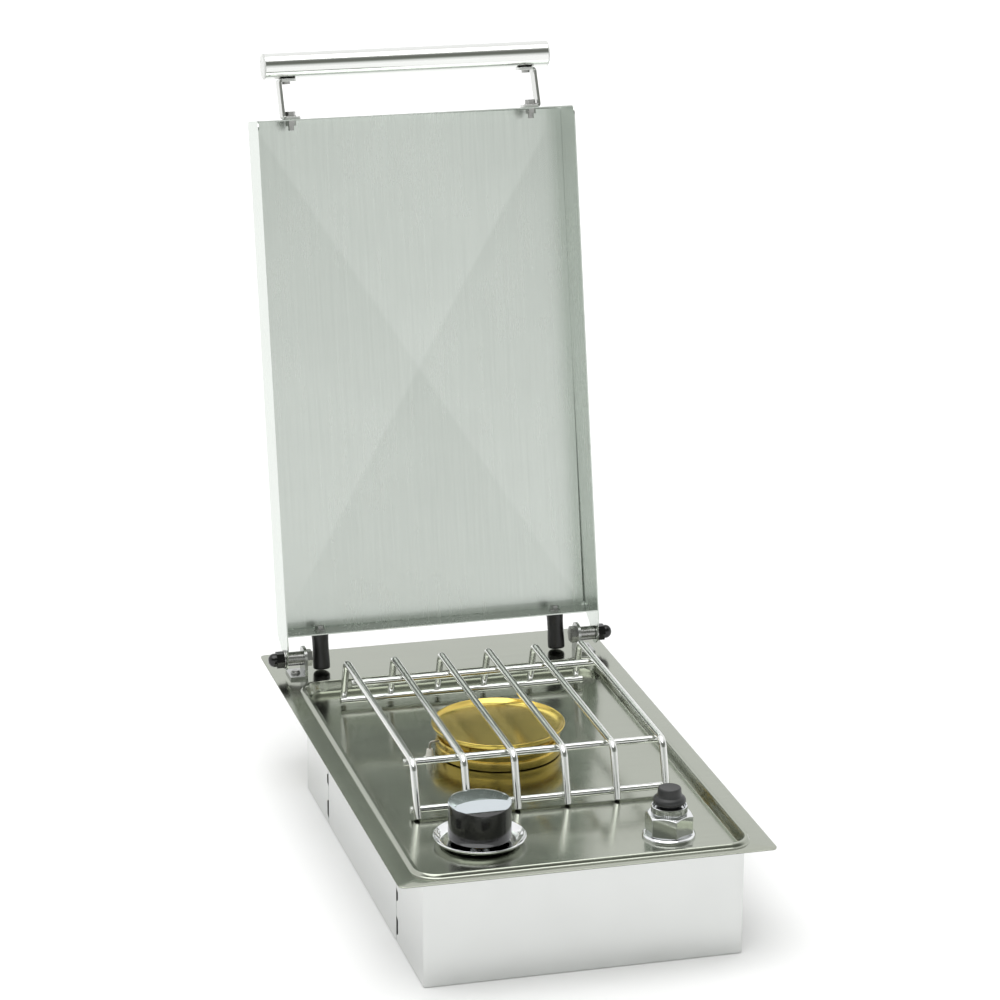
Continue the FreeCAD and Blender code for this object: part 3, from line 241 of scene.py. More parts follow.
def piece(name, shape, material, body, instead_of=(), wall=0.0, edge=0.0, sides=3, crease=32.0):
    """Turns a bmesh into a finished piece that rides on a body and stands for CAD nodes."""
    mesh = bpy.data.meshes.new(name)
    shape.to_mesh(mesh)
    shape.free()
    mesh.polygons.foreach_set("use_smooth", [True] * len(mesh.polygons))
    mesh.set_sharp_from_angle(angle=math.radians(crease))
    mesh.materials.append(material)
    item = bpy.data.objects.new(name, mesh)
    bpy.context.scene.collection.objects.link(item)
    if wall:
        skin = item.modifiers.new("wall", "SOLIDIFY")
        skin.thickness = wall
        skin.offset = -1.0
        skin.use_even_offset = True
    if edge:
        rounding = item.modifiers.new("edge", "BEVEL")
        rounding.width = edge
        rounding.segments = sides
        rounding.limit_method = "ANGLE"
        rounding.angle_limit = math.radians(30.0)
    item.modifiers.new("shading", "WEIGHTED_NORMAL").keep_sharp = True
    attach(item, body)
    if instead_of:
        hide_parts(*instead_of)
    return item


def rounded_face(shape, low, high, radius, height, steps):
    """A flat face with four rounded corners."""
    spots = [(low.x, low.y), (high.x, low.y), (high.x, high.y), (low.x, high.y)]
    corners = [shape.verts.new((x, y, height)) for x, y in spots]
    shape.faces.new(corners)
    bmesh.ops.bevel(
        shape, geom=corners, offset=radius, offset_type="OFFSET", affect="VERTICES",
        segments=steps, profile=0.5, material=-1,
    )


def boundary(faces):
    """The edges of these faces that border no other of them."""
    inside = set(faces)
    return [e for f in faces for e in f.edges if len([g for g in e.link_faces if g in inside]) == 1]


sheet = 0.001
pan_low, pan_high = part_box("deck_pan")
flange_z = pan_low.z + 0.005 + sheet
bead_low = Vector((pan_low.x + 0.014, pan_low.y + 0.0058))
bead_high = Vector((pan_high.x - 0.014, pan_high.y - 0.0818))
bead_steps = [
    (0.0006, 0.0005), (0.0009, 0.0015), (0.0009, 0.0014), (0.0008, 0.0006), (0.0012, 0.0), (0.0010, 0.0),
    (0.0007, -0.0007), (0.0008, -0.0022), (0.0008, -0.0032), (0.0006, -0.0019), (0.0006, -0.0008),
    (0.0006, -0.0002),
]
floor_z = flange_z - 0.005
middle_of = lambda node: (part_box(node)[0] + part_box(node)[1]) / 2
burner_axis = middle_of("burner_cap")
knob_axis = middle_of("knob_bezel")
igniter_axis = middle_of("igniter_washer")
electrode_axis = middle_of("electrode_insulator")

shape = bmesh.new()
rounded_face(shape, bead_low, bead_high, 0.022, flange_z, 10)
field = shape.faces[:]
rim = boundary(field)
for inset, rise in bead_steps:
    bmesh.ops.inset_region(
        shape, faces=field, use_boundary=True, use_even_offset=True, thickness=inset, depth=rise
    )
rounded_face(shape, pan_low, pan_high, 0.005, flange_z, 4)
margin = [f for f in shape.faces if f not in field and len(f.verts) > 4]
margin = [f for f in margin if abs(f.calc_center_median().z - flange_z) < 1e-6]
outer = boundary(margin)
bmesh.ops.delete(shape, geom=margin, context="FACES_ONLY")
bolt_holes = []
for side in (-1, 1):
    foot = middle_of("hinge_screws")
    ring = bmesh.ops.create_circle(shape, segments=16, radius=0.0022, matrix=Matrix.Translation(
        (side * (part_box("hinge_screws")[1].x - 0.0042), foot.y, flange_z)))
    bolt_holes += list({e for v in ring["verts"] for e in v.link_edges})
bmesh.ops.triangle_fill(shape, use_beauty=True, use_dissolve=False, edges=outer + rim + bolt_holes)
inner = boundary(field)
bmesh.ops.delete(shape, geom=field, context="FACES_ONLY")
floor_holes = []
for axis, radius in ((burner_axis, 0.0183), (knob_axis, 0.0093), (igniter_axis, 0.0112), (electrode_axis, 0.0037)):
    ring = bmesh.ops.create_circle(
        shape, segments=32, radius=radius, matrix=Matrix.Translation((axis.x, axis.y, floor_z))
    )
    floor_holes += list({e for v in ring["verts"] for e in v.link_edges})
bmesh.ops.triangle_fill(shape, use_beauty=True, use_dissolve=False, edges=inner + floor_holes)
bmesh.ops.recalc_face_normals(shape, faces=shape.faces)
if sum(f.normal.z * f.calc_area() for f in shape.faces) < 0:
    bmesh.ops.reverse_faces(shape, faces=shape.faces)
# Painted shade: the pan's steel is coloured much darker than the lid's and the walls' stainless, standing in for the
# darker surroundings it reflects.
pan_steel = brushed("pan_steel", (0.40, 0.42, 0.36), "X", 0.17, streaks=0.07, smudges=0.10, fine=0.00002)
piece("pan_sheet", shape, pan_steel, "base", ["deck_pan"], wall=sheet)


# ---------------------------------------------------------------- housing
# Bent panels of bright satin stainless steel, spot-welded at the seams to galvanised clips, with a
# slotted base plate under the lips. The sheet is the mill's own finish, faintly mottled.

def dress(material, *names):
    """Gives parts that keep their own shape their material."""
    for name in names:
        slots = nodes[name].data.materials
        slots.clear()
        slots.append(material)


def mottled(name, colour, roughness, grain=900.0, mottle=0.05, depth=0.00003, metallic=1.0, coat=0.0):
    """A finish without a direction: fine grain in the relief, soft patches in tone and gloss."""
    material = bpy.data.materials.new(name)
    material.use_nodes = True
    tree = Tree(material.node_tree)
    place = tree.node("ShaderNodeTexCoord", None, None, "Object")
    grains = tree.node("ShaderNodeTexNoise", None, {"Vector": place, "Scale": grain, "Detail": 3.0})
    clouds = tree.node("ShaderNodeTexNoise", None, {"Vector": place, "Scale": 24.0, "Detail": 4.0})
    specks = tree.node("ShaderNodeTexNoise", None, {"Vector": place, "Scale": 160.0, "Detail": 2.0})
    dark = [c * (1.0 - mottle * 2.0) for c in colour] + [1.0]
    light = [min(1.0, c * (1.0 + mottle * 2.0)) for c in colour] + [1.0]
    tone = tree.node(
        "ShaderNodeMix", {"data_type": "RGBA"}, {0: clouds * 0.7 + specks * 0.3, 6: dark, 7: light},
        2,
    )
    rough = (clouds - 0.5) * mottle * 2.0 + (specks - 0.5) * mottle + roughness
    bump = tree.node("ShaderNodeBump", None, {"Height": grains, "Strength": 0.3, "Distance": depth})
    shader = tree.node("ShaderNodeBsdfPrincipled", None, {
        "Base Color": tone, "Metallic": metallic, "Roughness": rough, "Normal": bump, "Coat Weight": coat,
        "Coat Roughness": 0.05,
    })
    tree.node("ShaderNodeOutputMaterial", None, {"Surface": shader})
    return material


wall_steel = mottled("wall_steel", (0.66, 0.67, 0.66), 0.20, grain=600.0, mottle=0.03, depth=0.00002)
zinc = mottled("zinc", (0.55, 0.56, 0.56), 0.38, grain=300.0, mottle=0.10, depth=0.00004)
dress(wall_steel, "front_panel", "rear_panel", "side_panel_left", "side_panel_right", "base_plate")
dress(zinc, "seam_clips")


# ---------------------------------------------------------------- burner
# A lacquered brass burner: a turned bowl whose gas ports open in the dark gap under a flared,
# dished cap. Both are lathe work with softened edges; a small rivet marks the cap's rear.

def turned(profile, steps=96, loop=False):
    """Spins (radius, height) points about the Z axis into a closed shape."""
    shape = bmesh.new()
    line = [shape.verts.new((radius, 0, height)) for radius, height in profile]
    sides = [shape.edges.new(pair) for pair in zip(line, line[1:] + line[:1] if loop else line[1:])]
    bmesh.ops.spin(
        shape, geom=line + sides, cent=(0, 0, 0), axis=(0, 0, 1), dvec=(0, 0, 0),
        angle=math.tau, steps=steps, use_merge=True,
    )
    bmesh.ops.remove_doubles(shape, verts=shape.verts, dist=1e-6)
    bmesh.ops.recalc_face_normals(shape, faces=shape.faces)
    return shape


def set_at(shape, place):
    """Carries a shape from the origin to its place."""
    bmesh.ops.transform(
        shape, matrix=place if isinstance(place, Matrix) else Matrix.Translation(place),
        verts=shape.verts,
    )
    return shape


mm = 0.001
on_pan = floor_z
burner_foot = Vector((burner_axis.x, burner_axis.y, on_pan))
throat_out, bowl_out, shoulder, cap_seat = 18.0 * mm, 53.0 * mm, 13.7 * mm, 18.0 * mm
cap_out, cap_lip = 56.0 * mm, 25.0 * mm
bowl = turned([
    (throat_out - 4 * mm, -24 * mm), (throat_out, -24 * mm), (throat_out, -0.2 * mm), (bowl_out - 2 * mm, 0),
    (bowl_out - 0.3 * mm, 0.9 * mm), (bowl_out, 2.4 * mm), (bowl_out, shoulder * 0.46),
    (bowl_out - 0.5 * mm, shoulder * 0.54),
    (bowl_out - 1.7 * mm, shoulder * 0.60), (bowl_out - 1.5 * mm, shoulder * 0.72),
    (bowl_out - 1.2 * mm, shoulder * 0.9),
    (bowl_out - 1.9 * mm, shoulder), (bowl_out - 5 * mm, shoulder + 0.3 * mm),
    (bowl_out - 5 * mm, cap_seat - 0.4 * mm),
    (bowl_out - 9 * mm, cap_seat - 0.1 * mm), (bowl_out - 9 * mm, 3 * mm), (throat_out - 4 * mm, 3 * mm),
], steps=144, loop=True)
port_faces = [
    f for f in bowl.faces
    if shoulder + 0.4 * mm < f.calc_center_median().z < cap_seat - 0.5 * mm
    and f.calc_center_median().xy.length > bowl_out - 6 * mm
]
port_faces = [
    f for f in port_faces
    if round(math.degrees(math.atan2(f.calc_center_median().y, f.calc_center_median().x)) / 2.5 - 0.5) % 6 == 0
]
bmesh.ops.inset_individual(bowl, faces=port_faces, thickness=0.3 * mm, depth=0)
for f in port_faces:
    inward = Vector((-f.normal.x, -f.normal.y, 0)) * 3 * mm
    pushed = bmesh.ops.extrude_discrete_faces(bowl, faces=[f])["faces"]
    bmesh.ops.translate(bowl, verts=list({v for g in pushed for v in g.verts}), vec=inward)
bowl_brass = mottled("bowl_brass", (0.56, 0.42, 0.11), 0.24, grain=260.0, mottle=0.07, depth=0.00004)
cap_brass = mottled("cap_brass", (0.66, 0.50, 0.13), 0.22, grain=340.0, mottle=0.05, depth=0.00003)
piece(
    "burner_bowl_turned", set_at(bowl, burner_foot), bowl_brass, "base",
    ["burner_bowl"], edge=0.35 * mm, sides=2,
)

cap = turned([
    (0, cap_seat), (bowl_out - 11.3 * mm, cap_seat), (bowl_out - 11.3 * mm, cap_seat - 2.5 * mm),
    (bowl_out - 9.3 * mm, cap_seat - 2.5 * mm), (bowl_out - 9.3 * mm, cap_seat),
    (bowl_out - 3 * mm, cap_seat),
    (cap_out - 3.0 * mm, cap_seat + 1.2 * mm), (cap_out - 1.4 * mm, cap_seat + 3.2 * mm),
    (cap_out - 0.3 * mm, cap_lip - 1.6 * mm),
    (cap_out, cap_lip - 0.7 * mm), (cap_out - 0.3 * mm, cap_lip - 0.1 * mm), (cap_out - 0.9 * mm, cap_lip),
    (cap_out - 1.6 * mm, cap_lip - 0.3 * mm), (cap_out - 2.6 * mm, cap_lip - 1.4 * mm),
    (cap_out - 4.4 * mm, cap_lip - 2.9 * mm),
    (cap_out - 6.6 * mm, cap_lip - 3.6 * mm), (cap_out - 9.5 * mm, cap_lip - 3.8 * mm),
    (cap_out - 11 * mm, cap_lip - 3.5 * mm),
    (0, cap_seat + 3.5 * mm),
], steps=144)
rivet = bmesh.ops.create_uvsphere(cap, u_segments=20, v_segments=12, radius=1.7 * mm)
bmesh.ops.translate(cap, verts=rivet["verts"], vec=(-4 * mm, cap_out - 4.4 * mm, cap_lip - 2.2 * mm))
piece(
    "burner_cap_turned", set_at(cap, burner_foot), cap_brass, "base",
    ["burner_cap"], edge=0.15 * mm, sides=2,
)


# ---------------------------------------------------------------- gas line
# Under the pan: a brass valve block with its nozzle, an iron mixer tube with a zinc-plated air
# shutter, and an aluminium supply pipe that ends in a brass flare fitting behind the housing.

dress(
    mottled("tube_iron", (0.16, 0.16, 0.155), 0.62, grain=420.0, mottle=0.12, depth=0.00016, metallic=0.6),
    "mixer_tube",
)
dress(zinc, "air_shutter")
dress(mottled("valve_brass", (0.60, 0.46, 0.20), 0.34, grain=380.0, mottle=0.08, depth=0.00007),
      "valve_body", "orifice_nozzle", "inlet_fitting")
dress(
    mottled("pipe_aluminium", (0.66, 0.67, 0.68), 0.30, grain=500.0, mottle=0.06, depth=0.00003),
    "gas_pipe",
)


# ---------------------------------------------------------------- spark electrode
# A steel wire through a white glazed ceramic insulator beside the burner. A black rubber-covered
# lead joins it to the igniter under the pan.

dress(mottled("glaze", (0.82, 0.80, 0.74), 0.16, grain=220.0, mottle=0.03, depth=0.00003, metallic=0.0, coat=0.6),
      "electrode_insulator")
dress(mottled("electrode_wire_steel", (0.46, 0.44, 0.40), 0.32, grain=700.0, mottle=0.10), "electrode_wire")
dress(
    mottled("lead_rubber", (0.03, 0.03, 0.03), 0.6, grain=900.0, mottle=0.10, depth=0.00006, metallic=0.0),
    "spark_lead",
)


# ---------------------------------------------------------------- igniter
# A push igniter. A tall chromed hexagon nut with cone-cut corners holds its barrel in the pan,
# a knurled ring sits on the nut, and a bellows-shaped cap of black rubber covers the button.

igniter_foot = Vector((igniter_axis.x, igniter_axis.y, on_pan))
bright_chrome = mottled("bright_chrome", (0.80, 0.81, 0.82), 0.07, grain=500.0, mottle=0.03, depth=0.00001)
barrel_out = 10.9 * mm
thread_out = barrel_out + 0.1 * mm
washer = turned([
    (thread_out, 0), (21.3 * mm, 0), (21.3 * mm, 1.6 * mm), (20.8 * mm, 2.4 * mm),
    (19.8 * mm, 3 * mm), (thread_out, 3 * mm),
], loop=True)
piece(
    "igniter_washer_turned", set_at(washer, igniter_foot), bright_chrome, "base",
    ["igniter_washer"], edge=0.2 * mm,
)

nut_flats, nut_foot, nut_top = 34.0 * mm, 3.0 * mm, 19.8 * mm
nut = bmesh.new()
bmesh.ops.create_circle(nut, segments=6, radius=nut_flats / math.sqrt(3.0))
bmesh.ops.subdivide_edges(nut, edges=nut.edges, cuts=9)
hexagon = nut.edges[:]
walls = bmesh.ops.extrude_edge_only(nut, edges=hexagon)["geom"]
top_rim = [g for g in walls if isinstance(g, bmesh.types.BMVert)]
bmesh.ops.translate(nut, verts=top_rim, vec=(0, 0, nut_top - nut_foot))
for corner in nut.verts:
    beyond = max(0.0, corner.co.xy.length - nut_flats * 0.498)
    corner.co.z += -beyond * 0.62 if corner in top_rim else beyond * 0.30
top_edges = [e for e in nut.edges if e.is_boundary and e.verts[0] in top_rim]
foot_edges = [e for e in nut.edges if e.is_boundary and e.verts[0] not in top_rim]
for rim_edges, height in ((top_edges, nut_top - nut_foot), (foot_edges, 0.0)):
    outer_ring = rim_edges
    for radius in (nut_flats * 0.488, thread_out):
        ring = bmesh.ops.create_circle(
            nut, segments=60, radius=radius, matrix=Matrix.Translation((0, 0, height)),
        )
        ring_edges = list({e for v in ring["verts"] for e in v.link_edges})
        bmesh.ops.bridge_loops(nut, edges=outer_ring + ring_edges)
        outer_ring = ring_edges
bore = [e for e in nut.edges if e.is_boundary]
bmesh.ops.bridge_loops(nut, edges=bore)
bmesh.ops.recalc_face_normals(nut, faces=nut.faces)
piece("igniter_nut_cut", set_at(nut, igniter_foot + Vector((0, 0, nut_foot))), bright_chrome, "base",
      ["igniter_nut"], edge=0.35 * mm, sides=3)

knurls = 56
ring = turned([
    (thread_out, 19.9 * mm), (14.4 * mm, 19.9 * mm), (14.5 * mm, 20.6 * mm), (14.5 * mm, 25.0 * mm),
    (14.3 * mm, 25.8 * mm),
    (14.0 * mm, 26.3 * mm), (13.45 * mm, 26.3 * mm), (13.45 * mm, 20.9 * mm), (thread_out, 20.9 * mm),
], steps=knurls * 2, loop=True)
for tooth in ring.verts:
    around = round(math.atan2(tooth.co.y, tooth.co.x) / math.tau * knurls * 2)
    if tooth.co.xy.length > 14.35 * mm and around % 2:
        tooth.co.xy *= 0.962
piece(
    "igniter_ring_knurled", set_at(ring, igniter_foot), bright_chrome, "base",
    ["igniter_ring"], crease=24.0,
)

button_rubber = mottled(
    "button_rubber", (0.022, 0.023, 0.023), 0.42, grain=1400.0, mottle=0.10, depth=0.00004,
    metallic=0.0,
)
button_out, button_top = 9.5 * mm, 41.2 * mm
button = turned([
    (0, -9 * mm), (button_out - 1.5 * mm, -9 * mm), (button_out - 1.5 * mm, 26.2 * mm),
    (10.3 * mm, 27.2 * mm),
    (11.6 * mm, 27.6 * mm), (12.6 * mm, 28.4 * mm), (13.1 * mm, 29.6 * mm), (13.1 * mm, 31.0 * mm),
    (12.6 * mm, 32.3 * mm),
    (11.6 * mm, 33.3 * mm), (10.3 * mm, 34.0 * mm), (10.0 * mm, 34.6 * mm), (9.9 * mm, 35.2 * mm),
    (button_out, 36 * mm),
    (button_out - 0.2 * mm, button_top - 1.2 * mm), (button_out - 0.6 * mm, button_top - 0.4 * mm),
    (button_out - 1.3 * mm, button_top), (button_out - 3 * mm, button_top - 0.15 * mm),
    (0, button_top - 0.3 * mm),
])
piece(
    "button_cap_moulded", set_at(button, igniter_foot), button_rubber, "button",
    ["igniter_button"], edge=0.2 * mm, sides=2,
)
dress(
    mottled("barrel_plastic", (0.03, 0.03, 0.03), 0.45, grain=800.0, mottle=0.08, metallic=0.0),
    "igniter_body",
)


def coil(inner, outer, low, high, turns):
    """A compression spring wound from round wire, between two heights."""
    wire = (outer - inner) / 2
    shape = bmesh.new()
    stand = Matrix.Translation(((inner + outer) / 2, 0, low + wire)) @ Matrix.Rotation(math.pi / 2, 4, "X")
    bmesh.ops.create_circle(shape, segments=10, radius=wire, matrix=stand, cap_ends=True)
    steps = 28 * turns
    rise = (high - low - 2 * wire) / steps
    start = shape.faces[:]
    bmesh.ops.spin(
        shape, geom=shape.verts[:] + shape.edges[:] + start, cent=(0, 0, 0), axis=(0, 0, 1),
        dvec=(0, 0, rise),
        angle=math.tau * turns, steps=steps,
    )
    bmesh.ops.remove_doubles(shape, verts=shape.verts, dist=1e-7)
    bmesh.ops.recalc_face_normals(shape, faces=shape.faces)
    return shape


spring_wire = mottled("spring_wire", (0.48, 0.48, 0.47), 0.28, grain=800.0, mottle=0.08)
igniter_coil = piece(
    "igniter_spring_coil", set_at(coil(4.4 * mm, 6.4 * mm, -21.8 * mm, -9.2 * mm, 4), igniter_foot),
    spring_wire, "base", ["igniter_spring"],
)
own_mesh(igniter_coil)


# ---------------------------------------------------------------- control knob
# A chromed dish round the valve stem, and a gloss black moulded knob with a chromed crown. The
# crown's front is scooped away to a slope that shows which way the knob points.

knob_foot = Vector((knob_axis.x, knob_axis.y, on_pan))
bonnet_out, bezel_out = 9.3 * mm, 37.2 * mm
dish = turned([
    (bonnet_out, 0), (29 * mm, 0), (31.5 * mm, 0.5 * mm), (33.8 * mm, 1.6 * mm),
    (35.8 * mm, 3.2 * mm), (bezel_out - 0.3 * mm, 4.8 * mm),
    (bezel_out, 5.4 * mm), (bezel_out - 0.3 * mm, 6 * mm), (bezel_out - 1.0 * mm, 6.1 * mm),
    (35.2 * mm, 5.0 * mm),
    (33.6 * mm, 3.4 * mm), (31.4 * mm, 1.9 * mm), (28.6 * mm, 0.9 * mm), (bonnet_out, 0.8 * mm),
], steps=144, loop=True)
piece(
    "bezel_dish", set_at(dish, knob_foot), bright_chrome, "base", ["knob_bezel"],
    edge=0.1 * mm, sides=2,
)

knob_out, knob_high, skirt_low, stem_out = 25.3 * mm, 32.5 * mm, 4.2 * mm, 4.04 * mm
crown_high = 36.4 * mm
body_shape = turned([
    (stem_out, 8 * mm), (7.5 * mm, 8 * mm), (7.5 * mm, knob_high - 4 * mm),
    (knob_out - 2.8 * mm, knob_high - 4 * mm),
    (knob_out - 2.5 * mm, skirt_low), (knob_out - 0.7 * mm, skirt_low), (knob_out, skirt_low + 0.7 * mm),
    (knob_out - 0.1 * mm, knob_high * 0.5), (knob_out - 0.2 * mm, knob_high - 0.1 * mm),
    (knob_out - 0.6 * mm, knob_high),
    (knob_out * 0.62, knob_high), (7 * mm, knob_high), (7 * mm, knob_high - 2.8 * mm),
    (stem_out, knob_high - 2.8 * mm),
], steps=144, loop=True)
crown = turned([
    (0, knob_high + 0.02 * mm), (knob_out - 0.6 * mm, knob_high + 0.02 * mm),
    (knob_out, knob_high + 0.4 * mm),
    (knob_out, knob_high + 1.2 * mm), (knob_out - 0.6 * mm, knob_high + 2.0 * mm),
    (knob_out - 2.2 * mm, knob_high + 2.6 * mm),
    (knob_out - 5 * mm, knob_high + 3.1 * mm), (knob_out - 12 * mm, knob_high + 3.6 * mm), (0, crown_high),
], steps=144)
slope_from, slope_drop = -4.0 * mm, 5.4 * mm
slope = Vector((0, -slope_drop, knob_out + slope_from)).normalized()
for part in (body_shape, crown):
    cut = bmesh.ops.bisect_plane(
        part, geom=part.verts[:] + part.edges[:] + part.faces[:],
        plane_co=(0, slope_from, crown_high - 0.1 * mm), plane_no=slope,
        clear_outer=True,
    )
    rims = [g for g in cut["geom_cut"] if isinstance(g, bmesh.types.BMEdge)]
    bmesh.ops.triangle_fill(part, use_beauty=True, edges=rims)
    bmesh.ops.recalc_face_normals(part, faces=part.faces)
knob_gloss = mottled(
    "knob_gloss", (0.012, 0.012, 0.012), 0.14, grain=240.0, mottle=0.04, depth=0.00002,
    metallic=0.0, coat=0.5,
)
crown_chrome = mottled("crown_chrome", (0.62, 0.67, 0.70), 0.09, grain=300.0, mottle=0.04, depth=0.00001)
piece(
    "knob_skirt", set_at(body_shape, knob_foot), knob_gloss, "knob", ["knob_body"],
    edge=0.3 * mm,
)
piece(
    "knob_crown", set_at(crown, knob_foot), crown_chrome, "knob", ["knob_cap"],
    edge=0.5 * mm,
)
stem_steel = mottled("stem_steel", (0.56, 0.56, 0.56), 0.26, grain=700.0, mottle=0.06)
dress(stem_steel, "valve_stem", "valve_collar")
valve_coil = piece(
    "valve_spring_coil", set_at(coil(4.8 * mm, 6.8 * mm, -8.9 * mm, 0.3 * mm, 3), knob_foot),
    spring_wire, "base", ["valve_spring"],
)
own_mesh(valve_coil)


# ---------------------------------------------------------------- grate
# Six bent rods on four cross rods, all of bright nickel-plated steel wire and resistance-welded
# where they cross.

bars = ["grate_bar_%d" % n for n in range(1, 7)]
rungs = ["grate_cross_front_top", "grate_cross_rear_top", "grate_cross_front_low", "grate_cross_rear_low"]
rod_plate = mottled("rod_plate", (0.76, 0.77, 0.75), 0.15, grain=500.0, mottle=0.05, depth=0.00002)
dress(rod_plate, *bars, *rungs)


# ---------------------------------------------------------------- hinges
# Zinc-plated steel brackets screwed to the pan's rear margin. A bolt through each carries the
# lid's ear between a spacer and a washer, under a black acorn nut.

hinge_plate = mottled("hinge_plate", (0.50, 0.51, 0.50), 0.30, grain=420.0, mottle=0.08, depth=0.00004)
bolt_steel = mottled("bolt_steel", (0.40, 0.40, 0.39), 0.28, grain=600.0, mottle=0.10, depth=0.00003)
dress(hinge_plate, "hinge_bracket_left", "hinge_bracket_right")
dress(bolt_steel, "hinge_screws", "hinge_bolts", "hinge_spacers", "hinge_washers",
      "handle_bolts", "handle_nuts", "handle_screws", "bumper_screws")
dress(
    mottled("nut_black", (0.05, 0.05, 0.05), 0.22, grain=500.0, mottle=0.08, depth=0.00003),
    "hinge_acorn_nuts",
)


# ---------------------------------------------------------------- lid
# One sheet of stainless steel, brushed lengthwise, with four folded flanges and open relief
# notches at the corners. Two creases cross its middle to stiffen it; its sides end in hinge ears.

hinge_joint = next(j for j in frame["joints"] if j["name"] == "lid_hinge")
lid_lean = math.radians(-12.1)
lid_place = Matrix.Translation(hinge_joint["pos_m"]) @ Matrix.Rotation(lid_lean, 4, "X")
lid_half, skin_back, edge_front = 141.8 * mm, 28.5 * mm, -15.5 * mm
lid_foot, lid_head = 21.0 * mm, 470 * mm
notch, crown_rise, crease_margin = 2.2 * mm, 4.0 * mm, 7.0 * mm


def cut_sheet(shape, outline, holes, place):
    """A flat sheet with round holes, from its corners and (x, y, radius) holes, laid by a matrix."""
    corners = [shape.verts.new(place @ Vector((x, y, 0))) for x, y in outline]
    rims = [shape.edges.new(pair) for pair in zip(corners, corners[1:] + corners[:1])]
    for x, y, radius in holes:
        ring = bmesh.ops.create_circle(
            shape, segments=24, radius=radius, matrix=place @ Matrix.Translation((x, y, 0)),
        )
        rims += {e for v in ring["verts"] for e in v.link_edges}
    filled = bmesh.ops.triangle_fill(shape, use_beauty=True, use_dissolve=False, edges=rims)
    return [g for g in filled["geom"] if isinstance(g, bmesh.types.BMFace)]


def sideways(x):
    """Lays a sheet in the plane across X: its first axis runs to the rear, its second one up."""
    return Matrix(((0, 0, 1, x), (1, 0, 0, 0), (0, 1, 0, 0), (0, 0, 0, 1)))


def level_at(z):
    return Matrix.Translation((0, 0, z))


def arc(x, y, radius, start, end, steps):
    """Points on part of a circle, from one angle to another in degrees."""
    turns = [math.radians(start + (end - start) * step / steps) for step in range(steps + 1)]
    return [(x + radius * math.cos(turn), y + radius * math.sin(turn)) for turn in turns]


ear_out, ear_bore = 9.5 * mm, 4.06 * mm
flank = [(skin_back, lid_head - notch), (skin_back - notch, lid_head)]
flank += arc(edge_front + 8 * mm, lid_head - 8 * mm, 8 * mm, 90, 180, 8)
flank += [(edge_front, 14 * mm), (edge_front + 1.0 * mm, 9.5 * mm), (edge_front + 3 * mm, 6 * mm)]
flank += arc(0, 0, ear_out, 182, 358, 14)
flank += [
    (ear_out + 3.5 * mm, 6.5 * mm), (skin_back - 8.5 * mm, 13 * mm),
    (skin_back - 2.6 * mm, 17.6 * mm), (skin_back, lid_foot + notch),
]
shell = bmesh.new()
for side in (-1, 1):
    cut_sheet(shell, flank, [(0, 0, ear_bore)], sideways(side * lid_half))
fold_half = lid_half - 1.5 * mm
for height, front, holes in (
    (lid_head, edge_front + 2.3 * mm, [(-108 * mm, 8.5 * mm, 2.6 * mm), (108 * mm, 8.5 * mm, 2.6 * mm)]),
    (lid_foot, edge_front, [(-107.5 * mm, 8.5 * mm, 2.2 * mm), (107.5 * mm, 8.5 * mm, 2.2 * mm)]),
):
    fold = [(-lid_half + notch, skin_back), (-fold_half, skin_back - notch), (-fold_half, front)]
    fold += [(-x, y) for x, y in reversed(fold)]
    cut_sheet(shell, fold, holes, level_at(height))
upright = Matrix(((1, 0, 0, 0), (0, 0, 1, skin_back), (0, 1, 0, 0), (0, 0, 0, 1)))
outline = [(-lid_half, lid_foot + notch), (-lid_half, lid_head - notch), (-lid_half + notch, lid_head)]
outline += [(-x, z) for x, z in reversed(outline)]
outline += [(lid_half - notch, lid_foot), (-lid_half + notch, lid_foot)]
rims = []
for spots in (outline, [
    (x * (lid_half - crease_margin), z) for x, z in (
        (-1, lid_foot + crease_margin), (-1, lid_head - crease_margin),
        (1, lid_head - crease_margin), (1, lid_foot + crease_margin),
    )
]):
    corners = [shell.verts.new(upright @ Vector((x, z, 0))) for x, z in spots]
    rims += [shell.edges.new(pair) for pair in zip(corners, corners[1:] + corners[:1])]
bmesh.ops.triangle_fill(shell, use_beauty=True, use_dissolve=False, edges=rims)
panel = shell.faces.new(corners)
bmesh.ops.remove_doubles(shell, verts=shell.verts, dist=1e-6)
bmesh.ops.recalc_face_normals(shell, faces=shell.faces)
if panel.normal.y < 0:
    bmesh.ops.reverse_faces(shell, faces=shell.faces)
peak = bmesh.ops.poke(shell, faces=[panel])["verts"][0]
peak.co.y += crown_rise
creases = peak.link_edges[:]
bmesh.ops.bevel(
    shell, geom=creases, offset=1.6 * mm, offset_type="OFFSET", affect="EDGES", segments=2, profile=0.5,
    material=-1, clamp_overlap=False,
)
bends = [e for e in shell.edges if len(e.link_faces) == 2 and e.calc_face_angle() > 1.0]
bmesh.ops.bevel(
    shell, geom=bends, offset=1.7 * mm, offset_type="OFFSET", affect="EDGES", segments=4, profile=0.5,
    material=-1, clamp_overlap=True,
)
lid_steel = brushed(
    "lid_steel", (0.66, 0.70, 0.66), "Z", 0.26, streaks=0.09, smudges=0.07, fine=0.00003,
    lean=-lid_lean, waves=0.0006,
)
piece(
    "lid_sheet", set_at(shell, lid_place), lid_steel, "lid", ["lid_shell"], wall=sheet,
    edge=0.15 * mm, sides=2,
)


# ---------------------------------------------------------------- handle
# A bright steel tube with pressed-in end plugs, held off the lid's front flange by two bent
# straps. Each strap is bolted down at its foot and screwed into the tube at its head.

